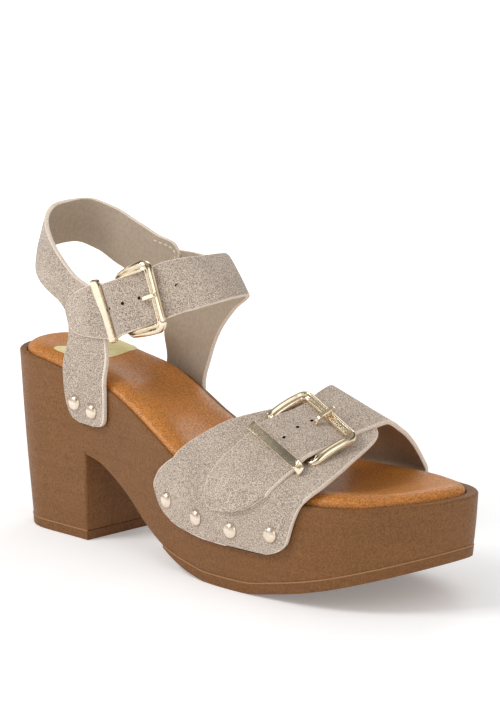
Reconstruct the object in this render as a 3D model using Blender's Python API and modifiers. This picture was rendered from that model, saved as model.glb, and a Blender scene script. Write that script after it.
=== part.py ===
"""Clog sandal, right shoe: a moulded platform sole, a padded footbed and a buckled leather upper.

+X points to the toe, +Y to the medial (inner) side of the foot and +Z up. Every size and table below is
in millimetres, and each mesh is scaled to metres when it is made.
"""

import math

import bmesh
import bpy
import numpy as np
from mathutils import Matrix, Vector

for leftover in list(bpy.data.objects):
    bpy.data.objects.remove(leftover, do_unlink=True)

MM = 0.001
GAP = 0.3

# Sole: overall length, and where the block heel ends in its breast face
HEEL_X = -120.5
TOE_X = 120.5
BREAST_X = -62.0
HEEL_ROUND = 26.0
TOE_ROUND = 46.0
ROUND_POWER = 2.3
RIM_EDGE = 1.0
HEEL_PIECE = 4.0
OUTSOLE_START = -6.0

# Footbed: its inset from the sole's ends, its share of the sole's width, and its padding
PAD_HEEL_INSET = 4.6
PAD_TOE_INSET = 5.2
PAD_LATERAL = 0.945
PAD_MEDIAL = 0.83
RECESS = 1.8
PAD_RISE = 4.0
PAD_DISH = 1.6

# Leather and metal
LEATHER = 2.0
LAP = 1.5
WALL_OFFSET = GAP + LEATHER / 2
LATERAL_ARCH = (1.2, 0.82)
MEDIAL_ARCH = (1.7, 1.0)
WALL_TOP = 2.0
BAR = 2.2
BAR_WIDTH = 2.6
BAR_CORNER = 3.6
BAR_INNER_CORNER = 1.6
PRONG_LENGTH = 7.0
PRONG_WIDTH = 2.2
PRONG_THICK = 1.6
KEEPER_LENGTH = 4.6
KEEPER_THICK = 1.6
KEEPER_LEG = 2.0
STUD_RADIUS = 3.3
STUD_HEIGHT = 2.0
STUD_SIDES = 12


def table(columns, *rows):
    """A table with named columns. The first column is the one that the others are read by."""
    return dict(zip(columns.split(), np.array(rows, float).T))


OUTLINE = table(
    "x lateral medial axis",
    (-122, -23.0, 25.5, 1.0),
    (-92, -24.5, 26.7, 1.0),
    (-62, -25.3, 25.7, 0.5),
    (-40, -27.3, 22.1, -2.0),
    (-17, -30.8, 19.5, -5.0),
    (10, -35.5, 23.0, -5.0),
    (38, -38.5, 32.5, -2.0),
    (63, -38.5, 37.5, 1.0),
    (90, -36.5, 38.7, 6.0),
    (121, -33.5, 37.5, 10.5),
)
RIM = table(
    "x top",
    (-122, 78.8),
    (-101, 77.8),
    (-88, 76.1),
    (-72, 73.4),
    (-48, 69.3),
    (-33, 64.0),
    (-16, 56.4),
    (2, 48.4),
    (20, 43.8),
    (43, 42.0),
    (73, 41.6),
    (96, 42.0),
    (110, 43.2),
    (121, 44.0),
)
UNDERSIDE = table(
    "x ground outsole",
    (-62, 38.6, 0.0),
    (-52, 36.2, 0.0),
    (-42, 31.2, 0.0),
    (-31, 24.6, 0.0),
    (-19, 15.8, 0.0),
    (-8, 9.3, 0.6),
    (1, 5.0, 2.4),
    (12, 1.7, 3.8),
    (24, 0.0, 4.2),
    (44, 0.0, 4.4),
    (66, 3.4, 4.6),
    (85, 7.6, 4.6),
    (102, 12.5, 4.6),
    (121, 18.6, 4.6),
)
# How far a wall draws in with depth, as shares of the distance to the breast and to the axis
HEEL_WALL = table("depth rake taper", (0, 0.006, 0.03), (0.02, 0, 0), (0.5, 0.06, 0.02), (1, 0.14, 0.05))
FORE_WALL = table("depth rake taper", (0, 0.006, 0.02), (0.03, 0, 0), (0.5, 0.005, 0.012), (1, 0.013, 0.035))

# Vamp form: the crest that the leather passes over, and the hem of the lateral panel on the wall
CREST = table(
    "x y z",
    (-12, 9.5, 93.2),
    (18, 10.5, 85.2),
    (48, 11.5, 75.4),
    (82, 13.0, 64.0),
    (100, 14.0, 59.5),
)
HEM = table(
    "x z",
    (-10, 28.0),
    (-5, 25.2),
    (0, 23.3),
    (12.6, 20.2),
    (27, 19.0),
    (57, 19.0),
    (64, 20.0),
    (70, 22.3),
    (74, 26.0),
)
MEDIAL_HEM = 20.0
# Leather pieces lie in rows between two edges. On the vamp an edge is given by x and by across, which is
# 0 at the lateral hem, 1 at the lateral rim, 2 on the crest, 3 at the medial rim and 4 at the medial hem
PANEL = table(
    "row low_x low_across high_x high_across lift",
    (0, 4.0, 0.0, 60.0, 0.0, 0),
    (1, -3.5, 0.05, 67.5, 0.05, 0),
    (2, -7.5, 0.13, 71.0, 0.13, 0),
    (3, -9.7, 0.27, 72.4, 0.27, 0),
    (4, -6.5, 0.55, 74.6, 0.55, 0),
    (5, -1.0, 0.8, 76.8, 0.8, 0),
    (6, 5.0, 1.0, 79.5, 1.0, 0),
    (7, 12.2, 1.17, 82.0, 1.17, 0),
    (8, 20.0, 1.34, 82.4, 1.34, 0),
    (9, 28.5, 1.48, 82.0, 1.48, 0),
    (10, 35.8, 1.6, 81.6, 1.6, 0),
    (11, 43.5, 1.75, 80.6, 1.75, 0),
    (12, 49.0, 1.85, 78.6, 1.85, 0),
    (13, 55.0, 1.92, 74.0, 1.92, 0),
)
STRAP = table(
    "row low_x low_across high_x high_across lift",
    (0, 38.5, 0.64, 47.0, 0.63, LAP),
    (1, 35.0, 0.70, 51.0, 0.66, LAP),
    (2, 31.6, 0.82, 55.5, 0.76, LAP),
    (3, 28.2, 0.95, 60.0, 0.88, LAP),
    (4, 24.8, 1.06, 63.6, 1.0, LAP),
    (5, 22.9, 1.17, 65.6, 1.1, LAP),
    (6, 25.6, 1.285, 66.2, 1.14, LAP),
    (7, 32.6, 1.36, 66.7, 1.17, LAP + 0.3),
    (8, 36.6, 1.395, 67.2, 1.2, 4.0),
    (9, 39.4, 1.43, 67.8, 1.245, 6.3),
    (10, 40.8, 1.47, 68.2, 1.29, 6.5),
    (11, 42.4, 1.525, 69.0, 1.345, 5.8),
    (12, 44.6, 1.635, 70.4, 1.46, 3.0),
    (13, 45.8, 1.735, 71.4, 1.57, LAP + 0.3),
    (14, 45.6, 1.81, 72.1, 1.65, LAP),
    (15, 45.8, 1.92, 74.6, 1.82, LAP),
    (16, 46.0, 2.02, 76.6, 1.98, LAP),
    (17, 45.8, 2.12, 77.2, 2.12, 0.8),
    (18, 44.6, 2.3, 77.4, 2.3, 0),
    (19, 42.4, 2.6, 76.8, 2.6, 0),
    (20, 39.8, 3.0, 75.6, 3.0, 0),
    (21, 38.6, 3.3, 76.0, 3.3, 0),
    (22, 38.8, 3.75, 77.4, 3.75, 0),
    (23, 41.5, 3.92, 76.0, 3.92, 0),
    (24, 46.0, 4.0, 71.5, 4.0, 0),
)

# Ankle form: an oval round the heel, by height, read by the turn from the front in degrees
OVAL_X = -47.0
OVAL_Y = 0.0
OVAL_HALF = 24.6
OVAL_POWER = 2.4
OVAL = table(
    "z front rear",
    (40, 16.0, -106.0),
    (95, 10.0, -107.0),
    (105, 6.5, -109.5),
    (113, 1.0, -111.2),
    (121, -6.0, -110.0),
    (129, -13.5, -107.0),
    (143, -17.0, -101.0),
)
WALL_BLEND = 14.0
# Round the ankle an edge is given by its turn and its height
HEEL_BAND = table(
    "row low_turn low_z high_turn high_z lift",
    (0, -101.0, 52.6, -93.5, 52.2, 0),
    (1, -106.2, 54.4, -90.5, 53.0, 0),
    (2, -109.8, 59.5, -89.3, 57.0, 0),
    (3, -111.6, 68.0, -89.2, 66.0, 0),
    (4, -112.2, 80.0, -89.8, 78.0, 0),
    (5, -111.2, 91.0, -90.4, 90.0, 0),
    (6, -112.6, 98.5, -91.5, 102.0, 0),
    (7, -118.0, 103.0, -95.0, 110.5, 0),
    (8, -127.0, 105.8, -104.5, 115.0, 0),
    (9, -140.0, 109.5, -118.0, 123.5, 0),
    (10, -158.0, 116.0, -144.0, 135.5, 0),
    (11, -178.0, 122.0, -174.0, 142.3, 0),
    (12, -200.0, 123.5, -200.0, 143.6, 0),
    (13, -219.0, 120.0, -224.0, 139.8, 0),
    (14, -236.0, 113.5, -244.0, 133.8, -LAP),
    (15, -250.0, 108.5, -256.0, 129.0, -LAP),
    (16, -261.0, 108.0, -264.5, 126.2, -LAP),
    (17, -266.0, 112.0, -267.4, 121.5, -LAP),
)
FRONT_STRAP = table(
    "row low_turn low_z high_turn high_z lift",
    (0, 88.0, 45.0, 98.0, 45.4, 0),
    (1, 84.5, 46.8, 101.5, 47.6, 0),
    (2, 83.5, 53.0, 102.8, 55.0, 0),
    (3, 83.4, 65.0, 103.0, 69.0, 0),
    (4, 81.3, 77.0, 102.0, 81.0, 0),
    (5, 75.5, 89.5, 101.3, 95.5, 0),
    (6, 60.0, 102.0, 101.5, 112.0, 0),
    (7, 32.0, 108.9, 101.2, 123.2, 0),
    (8, 14.0, 110.5, 91.5, 123.0, 0),
    (9, 3.0, 110.5, 58.0, 121.0, 0),
    (10, -9.0, 110.0, 24.0, 126.4, 0),
    (11, -23.0, 108.8, 2.0, 127.0, 0),
    (12, -36.0, 107.0, -20.0, 126.9, 0),
    (13, -46.0, 105.4, -42.0, 125.4, 0.6),
    (14, -56.5, 102.6, -62.0, 121.9, LAP),
    (15, -67.0, 99.3, -73.5, 119.4, 2.5),
    (16, -75.0, 96.3, -81.8, 117.2, 4.8),
    (17, -77.5, 95.2, -84.5, 116.4, 5.2),
    (18, -80.0, 94.1, -87.0, 115.6, 4.8),
    (19, -84.0, 92.3, -90.5, 114.4, 2.8),
    (20, -88.5, 91.0, -95.0, 113.0, LAP),
    (21, -94.0, 90.4, -100.5, 110.2, LAP),
    (22, -101.0, 90.3, -106.5, 106.2, LAP),
    (23, -106.5, 92.0, -109.6, 102.6, LAP),
    (24, -109.4, 95.0, -110.6, 99.0, LAP),
)

# Each buckle's two bars and each keeper's two edges: place on the form and height above it
VAMP_BUCKLE = ((53.8, 1.38, 3.4), (60.2, 1.72, 4.7))
VAMP_KEEPER = ((49.3, 1.22, 4.7), (50.8, 1.3, 7.4))
ANKLE_BUCKLE = ((-80.4, 105.5, 2.4), (-57.8, 111.6, 4.5))
ANKLE_KEEPER = ((-88.3, 102.9, 4.8), (-84.1, 105.3, 6.6))
# Inner widths, a little over the strap's own
VAMP_BUCKLE_WIDTH = 33.0
VAMP_KEEPER_WIDTH = 38.4
ANKLE_BUCKLE_WIDTH = 25.8
ANKLE_KEEPER_WIDTH = 24.8

# Studs, by their place on the sole's walls
STUDS = (
    ("stud_vamp_lateral", "lateral", ((0.3, 30.7), (20.4, 27.3), (41.2, 26.0), (63.0, 28.2))),
    ("stud_vamp_medial", "medial", ((46.0, 28.2), (54.5, 27.2), (63.0, 27.2), (71.5, 28.2))),
    ("stud_heel_lateral", "lateral", ((-65.3, 60.9), (-53.8, 58.8))),
    ("stud_heel_medial", "medial", ((-57.5, 54.0), (-46.0, 52.0))),
)

# Colour, roughness and metallic value of each finish
FINISHES = {
    "moulded_sole": ((0.19, 0.10, 0.055), 0.6, 0.0),
    "rubber_outsole": ((0.16, 0.085, 0.045), 0.7, 0.0),
    "footbed_leather": ((0.45, 0.20, 0.07), 0.45, 0.0),
    "suede": ((0.44, 0.36, 0.29), 0.9, 0.0),
    "pale_gold": ((0.85, 0.72, 0.50), 0.25, 1.0),
}


def follow(rows, column, at):
    """A smooth curve through one column of a table, which never overshoots its rows."""
    keys = next(iter(rows.values()))
    values = rows[column]
    at = np.clip(np.asarray(at, float), keys[0], keys[-1])
    step = np.diff(keys)
    slope = np.diff(values) / step
    before, after = slope[:-1], slope[1:]
    rising = before * after > 0
    inner = np.where(rising, 2 * before * after / np.where(rising, before + after, 1.0), 0.0)
    tangent = np.concatenate([slope[:1], inner, slope[-1:]])
    i = np.clip(np.searchsorted(keys, at, side="right") - 1, 0, len(step) - 1)
    t = (at - keys[i]) / step[i]
    return (
        (2 * t**3 - 3 * t**2 + 1) * values[i]
        + (t**3 - 2 * t**2 + t) * step[i] * tangent[i]
        + (3 * t**2 - 2 * t**3) * values[i + 1]
        + (t**3 - t**2) * step[i] * tangent[i + 1]
    )


def stations(start, end, count):
    """Places along X, closer together towards both ends."""
    return (start + end) / 2 - (end - start) / 2 * np.cos(np.linspace(0, math.pi, count))


# The sole's outline seen from above, and its heights


def end_round(x):
    """Share of the full width that is left where the heel and the toe round off."""
    from_heel = np.clip((x - HEEL_X) / HEEL_ROUND, 0, 1)
    from_toe = np.clip((TOE_X - x) / TOE_ROUND, 0, 1)
    rounds = [np.sqrt(np.maximum(1 - (1 - part) ** ROUND_POWER, 0)) for part in (from_heel, from_toe)]
    return rounds[0] * rounds[1]


def axis(x):
    return follow(OUTLINE, "axis", x)


def wall(x, column):
    """The Y of the sole's lateral or medial wall at its rim."""
    return axis(x) + (follow(OUTLINE, column, x) - axis(x)) * end_round(x)


def rim(x):
    return follow(RIM, "top", x)


def ground(x):
    return follow(UNDERSIDE, "ground", x)


def outsole_top(x):
    return ground(x) + follow(UNDERSIDE, "outsole", x)


def on_wall(x, column, z, draw, base):
    """A point of the sole's side at height z, drawn in with depth by the wall's draft."""
    depth = (rim(x) - z) / (rim(x) - base)
    y = axis(x) + (wall(x, column) - axis(x)) * (1 - follow(draw, "taper", depth))
    return BREAST_X + (x - BREAST_X) * (1 - follow(draw, "rake", depth)), y, z


# Meshes


def finish(name):
    material = bpy.data.materials.get(name)
    if material is None:
        colour, roughness, metallic = FINISHES[name]
        material = bpy.data.materials.new(name)
        material.use_nodes = True
        shader = material.node_tree.nodes["Principled BSDF"]
        shader.inputs["Base Color"].default_value = (*colour, 1.0)
        shader.inputs["Roughness"].default_value = roughness
        shader.inputs["Metallic"].default_value = metallic
    return material


def add_object(name, data, material):
    data.materials.append(finish(material))
    made = bpy.data.objects.new(name, data)
    PARTS.objects.link(made)
    return made


def make_cutter(made):
    """Keep an object only as the operand of another object's Boolean."""
    PARTS.objects.unlink(made)
    CUTTERS.objects.link(made)
    made.hide_render = True
    made.display_type = "WIRE"


def boolean(target, operand, operation):
    modifier = target.modifiers.new(operation.title(), "BOOLEAN")
    modifier.operation = operation
    modifier.object = operand


def mesh_of_grid(name, points, closed):
    """Quads over a grid of points. A closed grid joins its last column to its first and caps its ends."""
    rows, columns, _ = points.shape
    shape = bmesh.new()
    verts = [[shape.verts.new(Vector(p) * MM) for p in row] for row in points]
    last = columns if closed else columns - 1
    for r in range(rows - 1):
        for c in range(last):
            d = (c + 1) % columns
            shape.faces.new((verts[r][c], verts[r + 1][c], verts[r + 1][d], verts[r][d]))
    if closed:
        shape.faces.new(verts[0])
        shape.faces.new(verts[-1])
        bmesh.ops.remove_doubles(shape, verts=shape.verts, dist=1e-6)
        bmesh.ops.dissolve_degenerate(shape, edges=shape.edges, dist=1e-7)
        bmesh.ops.recalc_face_normals(shape, faces=shape.faces)
    mesh = bpy.data.meshes.new(name)
    shape.to_mesh(mesh)
    shape.free()
    return mesh


def loft(name, rings, material):
    return add_object(name, mesh_of_grid(name, np.array(rings, float), True), material)


def shell(name, points, material):
    """A leather piece: an open surface with the leather's thickness, half to each side."""
    made = add_object(name, mesh_of_grid(name, points, False), material)
    modifier = made.modifiers.new("Thickness", "SOLIDIFY")
    modifier.thickness = LEATHER * MM
    modifier.offset = 0.0
    modifier.use_even_offset = True
    return made


def flat_solid(name, outlines, thickness, material):
    """A flat outline, with any holes in it, given a thickness along its local Z."""
    outline = bpy.data.curves.new(name, "CURVE")
    outline.dimensions = "2D"
    outline.fill_mode = "BOTH"
    outline.extrude = thickness / 2 * MM
    for points in outlines:
        spline = outline.splines.new("POLY")
        spline.points.add(len(points) - 1)
        for point, (x, y) in zip(spline.points, points):
            point.co = (x * MM, y * MM, 0, 1)
        spline.use_cyclic_u = True
    return add_object(name, outline, material)


def rounded_box(length, width, radius, steps=4):
    """Corner points of a rounded rectangle about the origin."""
    points = []
    for corner in range(4):
        sign_x = 1 if corner in (0, 3) else -1
        sign_y = 1 if corner in (0, 1) else -1
        for step in range(steps + 1):
            angle = (corner + step / steps) * math.pi / 2
            x = sign_x * (length / 2 - radius) + radius * math.cos(angle)
            y = sign_y * (width / 2 - radius) + radius * math.sin(angle)
            points.append((x, y))
    return points


# Sole


def platform_ring(x, floor, draw, base):
    """One cross-section of the platform: up the lateral wall, over the top, down the medial wall and back."""
    top = rim(x)
    levels = [floor, (floor + top) / 2, top - RIM_EDGE, top]
    lateral = [on_wall(x, "lateral", z, draw, base) for z in levels]
    medial = [on_wall(x, "medial", z, draw, base) for z in reversed(levels)]
    return lateral + between(lateral[-1], medial[0]) + medial + between(medial[-1], lateral[0])


def between(start, end, count=2):
    shares = (np.arange(count) + 1) / (count + 1)
    return [tuple(np.array(start) + (np.array(end) - np.array(start)) * share) for share in shares]


def build_platform():
    heel_floor = HEEL_PIECE + GAP
    heel = [platform_ring(x, heel_floor, HEEL_WALL, 0.0) for x in heel_stations()]
    fore = []
    for x in np.concatenate([[BREAST_X], fore_stations(BREAST_X + 4.0, 30)]):
        floor = outsole_top(x) + (GAP if x > OUTSOLE_START else 0.0)
        fore.append(platform_ring(x, floor, FORE_WALL, float(ground(x))))
    platform = loft("platform_sole", heel + fore, "moulded_sole")
    recess = loft("footbed_recess", [recess_ring(x) for x in pad_stations()], "moulded_sole")
    make_cutter(recess)
    boolean(platform, recess, "DIFFERENCE")


def heel_stations():
    """Closer together round the back of the heel."""
    turn = np.linspace(0, math.pi / 2, 13)
    return HEEL_X + (BREAST_X - HEEL_X) * (1 - np.cos(turn))


def fore_stations(start, count):
    """Closer together round the toe."""
    turn = np.linspace(math.pi * 0.2, math.pi / 2, count)
    share = (np.sin(turn) - np.sin(turn[0])) / (1 - np.sin(turn[0]))
    return start + (TOE_X - start) * share


def build_outsole():
    rings = []
    for x in fore_stations(OUTSOLE_START, 26):
        low, high = float(ground(x)), float(outsole_top(x))
        lateral = [on_wall(x, "lateral", z, FORE_WALL, low) for z in (low, high)]
        medial = [on_wall(x, "medial", z, FORE_WALL, low) for z in (high, low)]
        rings.append(lateral + medial)
    loft("forefoot_outsole", rings, "rubber_outsole")


def build_heel_piece():
    rings = []
    for x in heel_stations():
        lateral = [on_wall(x, "lateral", z, HEEL_WALL, 0.0) for z in (0.0, HEEL_PIECE)]
        medial = [on_wall(x, "medial", z, HEEL_WALL, 0.0) for z in (HEEL_PIECE, 0.0)]
        rings.append(lateral + medial)
    loft("heel_top_piece", rings, "rubber_outsole")


# Footbed

PAD_START = HEEL_X + PAD_HEEL_INSET
PAD_END = TOE_X - PAD_TOE_INSET


def pad_stations():
    return stations(PAD_START, PAD_END, 34)


def pad_y(x, across, grow=0.0):
    """The footbed's Y, where across runs from -1 at its lateral edge to 1 at its medial edge."""
    share = (x - PAD_START) / (PAD_END - PAD_START)
    on_sole = HEEL_X + (TOE_X - HEEL_X) * share
    column, scale = ("lateral", PAD_LATERAL) if across < 0 else ("medial", PAD_MEDIAL)
    half = abs(wall(on_sole, column) - axis(on_sole)) * scale + grow
    return axis(on_sole) + across * half


def pad_top(x, across):
    """Padding that rolls over at the edges and dishes a little under the foot."""
    share = (x - PAD_START) / (PAD_END - PAD_START)
    end_roll = math.sqrt(max(1 - abs(2 * share - 1) ** 16, 0.0))
    roll = math.sqrt(max(1 - abs(across) ** 6, 0.0))
    return PAD_RISE * roll * end_roll - PAD_DISH * (1 - across * across) ** 2 * end_roll


def recess_ring(x):
    floor, lid = rim(x) - RECESS, rim(x) + 2 * PAD_RISE
    stretch = PAD_START + (x - PAD_START) * (1 + 2 * GAP / (PAD_END - PAD_START)) - GAP
    low = [(stretch, pad_y(x, side, GAP), floor) for side in (-1, 1)]
    high = [(stretch, pad_y(x, side, GAP), lid) for side in (1, -1)]
    return low + high


def build_footbed():
    crossings = (-1.0, -0.96, -0.86, -0.6, -0.25, 0.25, 0.6, 0.86, 0.96, 1.0)
    rings = []
    for x in pad_stations():
        low = [(x, pad_y(x, side), rim(x) - RECESS + GAP) for side in (1, -1)]
        high = [(x, pad_y(x, across), rim(x) + pad_top(x, across)) for across in crossings]
        rings.append(high + low)
    loft("footbed", rings, "footbed_leather")


# Upper

# Steps along a form's two directions that its normal is read over, signed so that it points outwards
VAMP_STEPS = (-0.5, 0.01)
ANKLE_STEPS = (-0.5, 0.5)


def vamp(x, across, lift=0.0):
    """A point of the leather over the forefoot, lifted off the form along its normal."""

    def form(x, across):
        column = "lateral" if across < 2 else "medial"
        out = -1 if across < 2 else 1
        side = wall(x, column) + out * WALL_OFFSET
        corner = rim(x) + WALL_TOP
        from_crest = abs(across - 2)
        if from_crest > 1:
            hem = follow(HEM, "z", x) if across < 2 else MEDIAL_HEM
            return np.array((x, side, corner + (hem - corner) * (from_crest - 1)))
        crest_y, crest_z = follow(CREST, "y", x), follow(CREST, "z", x)
        power, fullness = LATERAL_ARCH if across < 2 else MEDIAL_ARCH
        arch = (1 - from_crest**power) ** fullness
        return np.array((x, crest_y + (side - crest_y) * from_crest, corner + (crest_z - corner) * arch))

    return lifted(form, x, across, lift, VAMP_STEPS)


def ankle(turn, z, lift=0.0):
    """A point of the leather round the ankle: an oval above, and the sole's wall below."""

    def form(turn, z):
        cosine, sine = math.cos(math.radians(turn)), math.sin(math.radians(turn))
        reach = follow(OVAL, "front" if cosine > 0 else "rear", z) - OVAL_X
        x = OVAL_X + reach * abs(cosine) ** (2 / OVAL_POWER)
        y = OVAL_Y + math.copysign(OVAL_HALF * abs(sine) ** (2 / OVAL_POWER), sine)
        column, out = ("lateral", -1) if sine < 0 else ("medial", 1)
        above = min(max((z - rim(x) - 1.0) / WALL_BLEND, 0.0), 1.0)
        ease = above * above * (3 - 2 * above)
        on_sole = wall(x, column) + out * WALL_OFFSET
        return np.array((x, on_sole + (y - on_sole) * ease, z))

    return lifted(form, turn, z, lift, ANKLE_STEPS)


def lifted(form, a, b, lift, steps):
    """A form's point moved along the form's outward normal."""
    point = form(a, b)
    if lift == 0:
        return point
    return point + lift * normal_of(form, a, b, steps)


def normal_of(form, a, b, steps):
    along = form(a + steps[0], b) - form(a - steps[0], b)
    over = form(a, b + steps[1]) - form(a, b - steps[1])
    cross = np.cross(over, along)
    return cross / np.linalg.norm(cross)


def band(form, edges, rows, columns):
    """Points of a leather piece on a form, row by row from its low edge to its high edge."""
    low_keys, high_keys = list(edges)[1:3], list(edges)[3:5]
    grid = []
    for row in rows:
        low = np.array([follow(edges, key, row) for key in low_keys])
        high = np.array([follow(edges, key, row) for key in high_keys])
        lift = float(follow(edges, "lift", row))
        grid.append([form(*(low + (high - low) * share), lift) for share in np.linspace(0, 1, columns)])
    return np.array(grid)


def build_vamp():
    panel = shell("vamp_upper", band(vamp, PANEL, rows_of(PANEL, (3, 1), (9, 0.5), (13, 1)), 13), "suede")
    strap_rows = rows_of(STRAP, (3, 1), (6, 0.5), (19, 0.5), (20, 0.34), (24, 1))
    strap = shell("vamp_strap", band(vamp, STRAP, strap_rows, 6), "suede")
    make_cutter(strap)
    boolean(panel, strap, "UNION")


def build_ankle():
    band_rows = rows_of(HEEL_BAND, (3, 1), (16, 0.5), (17, 1))
    heel_band = shell("ankle_upper", band(ankle, HEEL_BAND, band_rows, 6), "suede")
    strap_rows = rows_of(FRONT_STRAP, (3, 1), (22, 0.5), (24, 1))
    front_strap = shell("ankle_strap", band(ankle, FRONT_STRAP, strap_rows, 6), "suede")
    make_cutter(front_strap)
    boolean(heel_band, front_strap, "UNION")


def rows_of(edges, *runs):
    """Row numbers from the table's first row: each run goes on to its end row by its own step."""
    rows = [edges["row"][0]]
    for end, step in runs:
        count = round((end - rows[-1]) / step)
        rows.extend(np.linspace(rows[-1], end, count + 1)[1:])
    return rows


# Hardware


def seat(form, ends, steps):
    """A frame between two places on a form: X runs from one to the other, Z points out of the form."""
    start, end = form(*ends[0]), form(*ends[1])
    middle = [(p + q) / 2 for p, q in zip(*ends)][:2]
    normal = Vector(normal_of(form, *middle, steps))
    along = Vector(end - start).normalized()
    across = normal.cross(along).normalized()
    frame = Matrix((along, across, along.cross(across))).transposed().to_4x4()
    frame.translation = Vector((start + end) / 2) * MM
    return frame, (Vector(end) - Vector(start)).length


def build_buckle(name, place, reach, width):
    """A rectangular frame, with its prong over the outer bar."""
    outer = rounded_box(reach + BAR_WIDTH, width + 2 * BAR_WIDTH, BAR_CORNER)
    inner = rounded_box(reach - BAR_WIDTH, width, BAR_INNER_CORNER)
    frame = flat_solid(name + "_buckle_frame", (outer, inner), BAR, "pale_gold")
    frame.matrix_world = place
    bar_end = reach / 2 + BAR_WIDTH / 2
    bar_top = BAR / 2 + GAP
    tip_top = bar_top + PRONG_THICK
    side = (
        (bar_end - BAR_WIDTH / 2 - PRONG_LENGTH, bar_top - PRONG_THICK / 3),
        (bar_end - BAR_WIDTH, bar_top),
        (bar_end + 0.3, bar_top),
        (bar_end + 0.5, bar_top + PRONG_THICK / 2),
        (bar_end, tip_top),
        (bar_end - BAR_WIDTH, tip_top),
        (bar_end - BAR_WIDTH / 2 - PRONG_LENGTH, tip_top - PRONG_THICK / 3),
    )
    prong = flat_solid(name + "_buckle_prong", (side,), PRONG_WIDTH, "pale_gold")
    prong.matrix_world = place @ Matrix.Rotation(math.pi / 2, 4, "X")


def build_keeper(name, place, width):
    """A metal loop over the strap, with a leg down each side of it."""
    inner, outer = width / 2, width / 2 + KEEPER_THICK
    outline = (
        (-outer, -KEEPER_LEG),
        (-outer, KEEPER_THICK),
        (outer, KEEPER_THICK),
        (outer, -KEEPER_LEG),
        (inner, -KEEPER_LEG),
        (inner, 0.0),
        (-inner, 0.0),
        (-inner, -KEEPER_LEG),
    )
    keeper = flat_solid(name + "_keeper", (outline,), KEEPER_LENGTH, "pale_gold")
    upright = Matrix.Rotation(math.pi / 2, 4, "Z") @ Matrix.Rotation(math.pi / 2, 4, "X")
    keeper.matrix_world = place @ upright


def stud_mesh(name):
    """A domed head turned about its axis."""
    profile = ((0.0, 1.0), (0.6, 0.82), (0.9, 0.45), (1.0, 0.12), (1.0, 0.0), (0.0, 0.0))
    mesh = bpy.data.meshes.new(name)
    points = [(r * STUD_RADIUS * MM, 0, h * STUD_HEIGHT * MM) for r, h in profile]
    mesh.from_pydata(points, [(i, i + 1) for i in range(len(points) - 1)], [])
    return mesh


def build_studs():
    for name, column, places in STUDS:
        out = -1 if column == "lateral" else 1
        for number, (x, z) in enumerate(places, 1):
            slope = (wall(x + 1, column) - wall(x - 1, column)) / 2
            normal = Vector((-out * slope, out, 0)).normalized()
            foot = Vector((x, wall(x, column) + out * WALL_OFFSET, z)) + normal * (LEATHER / 2 + 1.5 * GAP)
            stud = add_object(f"{name}_{number}", stud_mesh(name), "pale_gold")
            turned = stud.modifiers.new("Turned", "SCREW")
            turned.steps = turned.render_steps = STUD_SIDES
            turned.use_merge_vertices = True
            turned.merge_threshold = 1e-5
            stud.rotation_mode = "QUATERNION"
            stud.rotation_quaternion = normal.to_track_quat("Z", "Y")
            stud.location = foot * MM


def build_hardware():
    place, reach = seat(vamp, VAMP_BUCKLE, VAMP_STEPS)
    build_buckle("vamp", place, reach, VAMP_BUCKLE_WIDTH)
    place, reach = seat(ankle, ANKLE_BUCKLE, ANKLE_STEPS)
    build_buckle("ankle", place, reach, ANKLE_BUCKLE_WIDTH)
    place, _ = seat(vamp, VAMP_KEEPER, VAMP_STEPS)
    build_keeper("vamp", place, VAMP_KEEPER_WIDTH)
    place, _ = seat(ankle, ANKLE_KEEPER, ANKLE_STEPS)
    build_keeper("ankle", place, ANKLE_KEEPER_WIDTH)


def new_collection(name):
    made = bpy.data.collections.new(name)
    bpy.context.scene.collection.children.link(made)
    return made


PARTS = new_collection("clog_sandal")
CUTTERS = new_collection("cutters")

build_platform()
build_outsole()
build_heel_piece()
build_footbed()
build_vamp()
build_ankle()
build_hardware()
build_studs()
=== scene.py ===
"""Finished look of the clog sandal, a right shoe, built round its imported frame.

The file is laid out as a Blender add-on and is run as a script. +X points to the toe, +Y to the medial
(inner) side of the foot and +Z up. Tables and form functions are in millimetres, and meshes are in metres.
"""

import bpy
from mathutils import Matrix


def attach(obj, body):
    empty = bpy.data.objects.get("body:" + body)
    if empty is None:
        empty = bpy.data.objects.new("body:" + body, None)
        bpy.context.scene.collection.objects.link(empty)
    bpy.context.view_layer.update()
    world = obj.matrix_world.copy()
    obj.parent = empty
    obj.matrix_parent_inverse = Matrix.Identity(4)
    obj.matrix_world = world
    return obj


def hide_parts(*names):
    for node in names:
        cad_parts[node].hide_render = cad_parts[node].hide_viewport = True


bl_info = {
    "name": "Clog Sandal",
    "version": (1, 0, 0),
    "blender": (4, 5, 0),
    "location": "View3D > Sidebar > Sandal",
    "description": "Builds the sole, leather and metal of a clog sandal round its packed frame",
    "category": "Object",
}

import math
from contextlib import contextmanager

import bmesh
import bpy
import numpy as np
from bpy.props import FloatProperty, FloatVectorProperty, PointerProperty
from mathutils import Matrix, Vector

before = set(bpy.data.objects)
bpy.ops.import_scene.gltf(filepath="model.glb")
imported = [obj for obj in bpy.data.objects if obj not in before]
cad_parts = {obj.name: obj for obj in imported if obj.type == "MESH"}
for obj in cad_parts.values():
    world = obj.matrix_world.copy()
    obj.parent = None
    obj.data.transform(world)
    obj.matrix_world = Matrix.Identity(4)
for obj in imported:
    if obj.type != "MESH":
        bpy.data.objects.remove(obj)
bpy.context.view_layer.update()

MM = 0.001
BODY = "root"
# Clearance between neighbouring pieces
GAP = 0.3

# Sole: its two ends, where the block heel ends in its breast face, and how its ends round off
HEEL_X = -120.5
TOE_X = 120.5
BREAST_X = -62.0
HEEL_ROUND = 26.0
TOE_ROUND = 46.0
ROUND_POWER = 2.3
RECESS_LIP = 0.4
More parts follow.
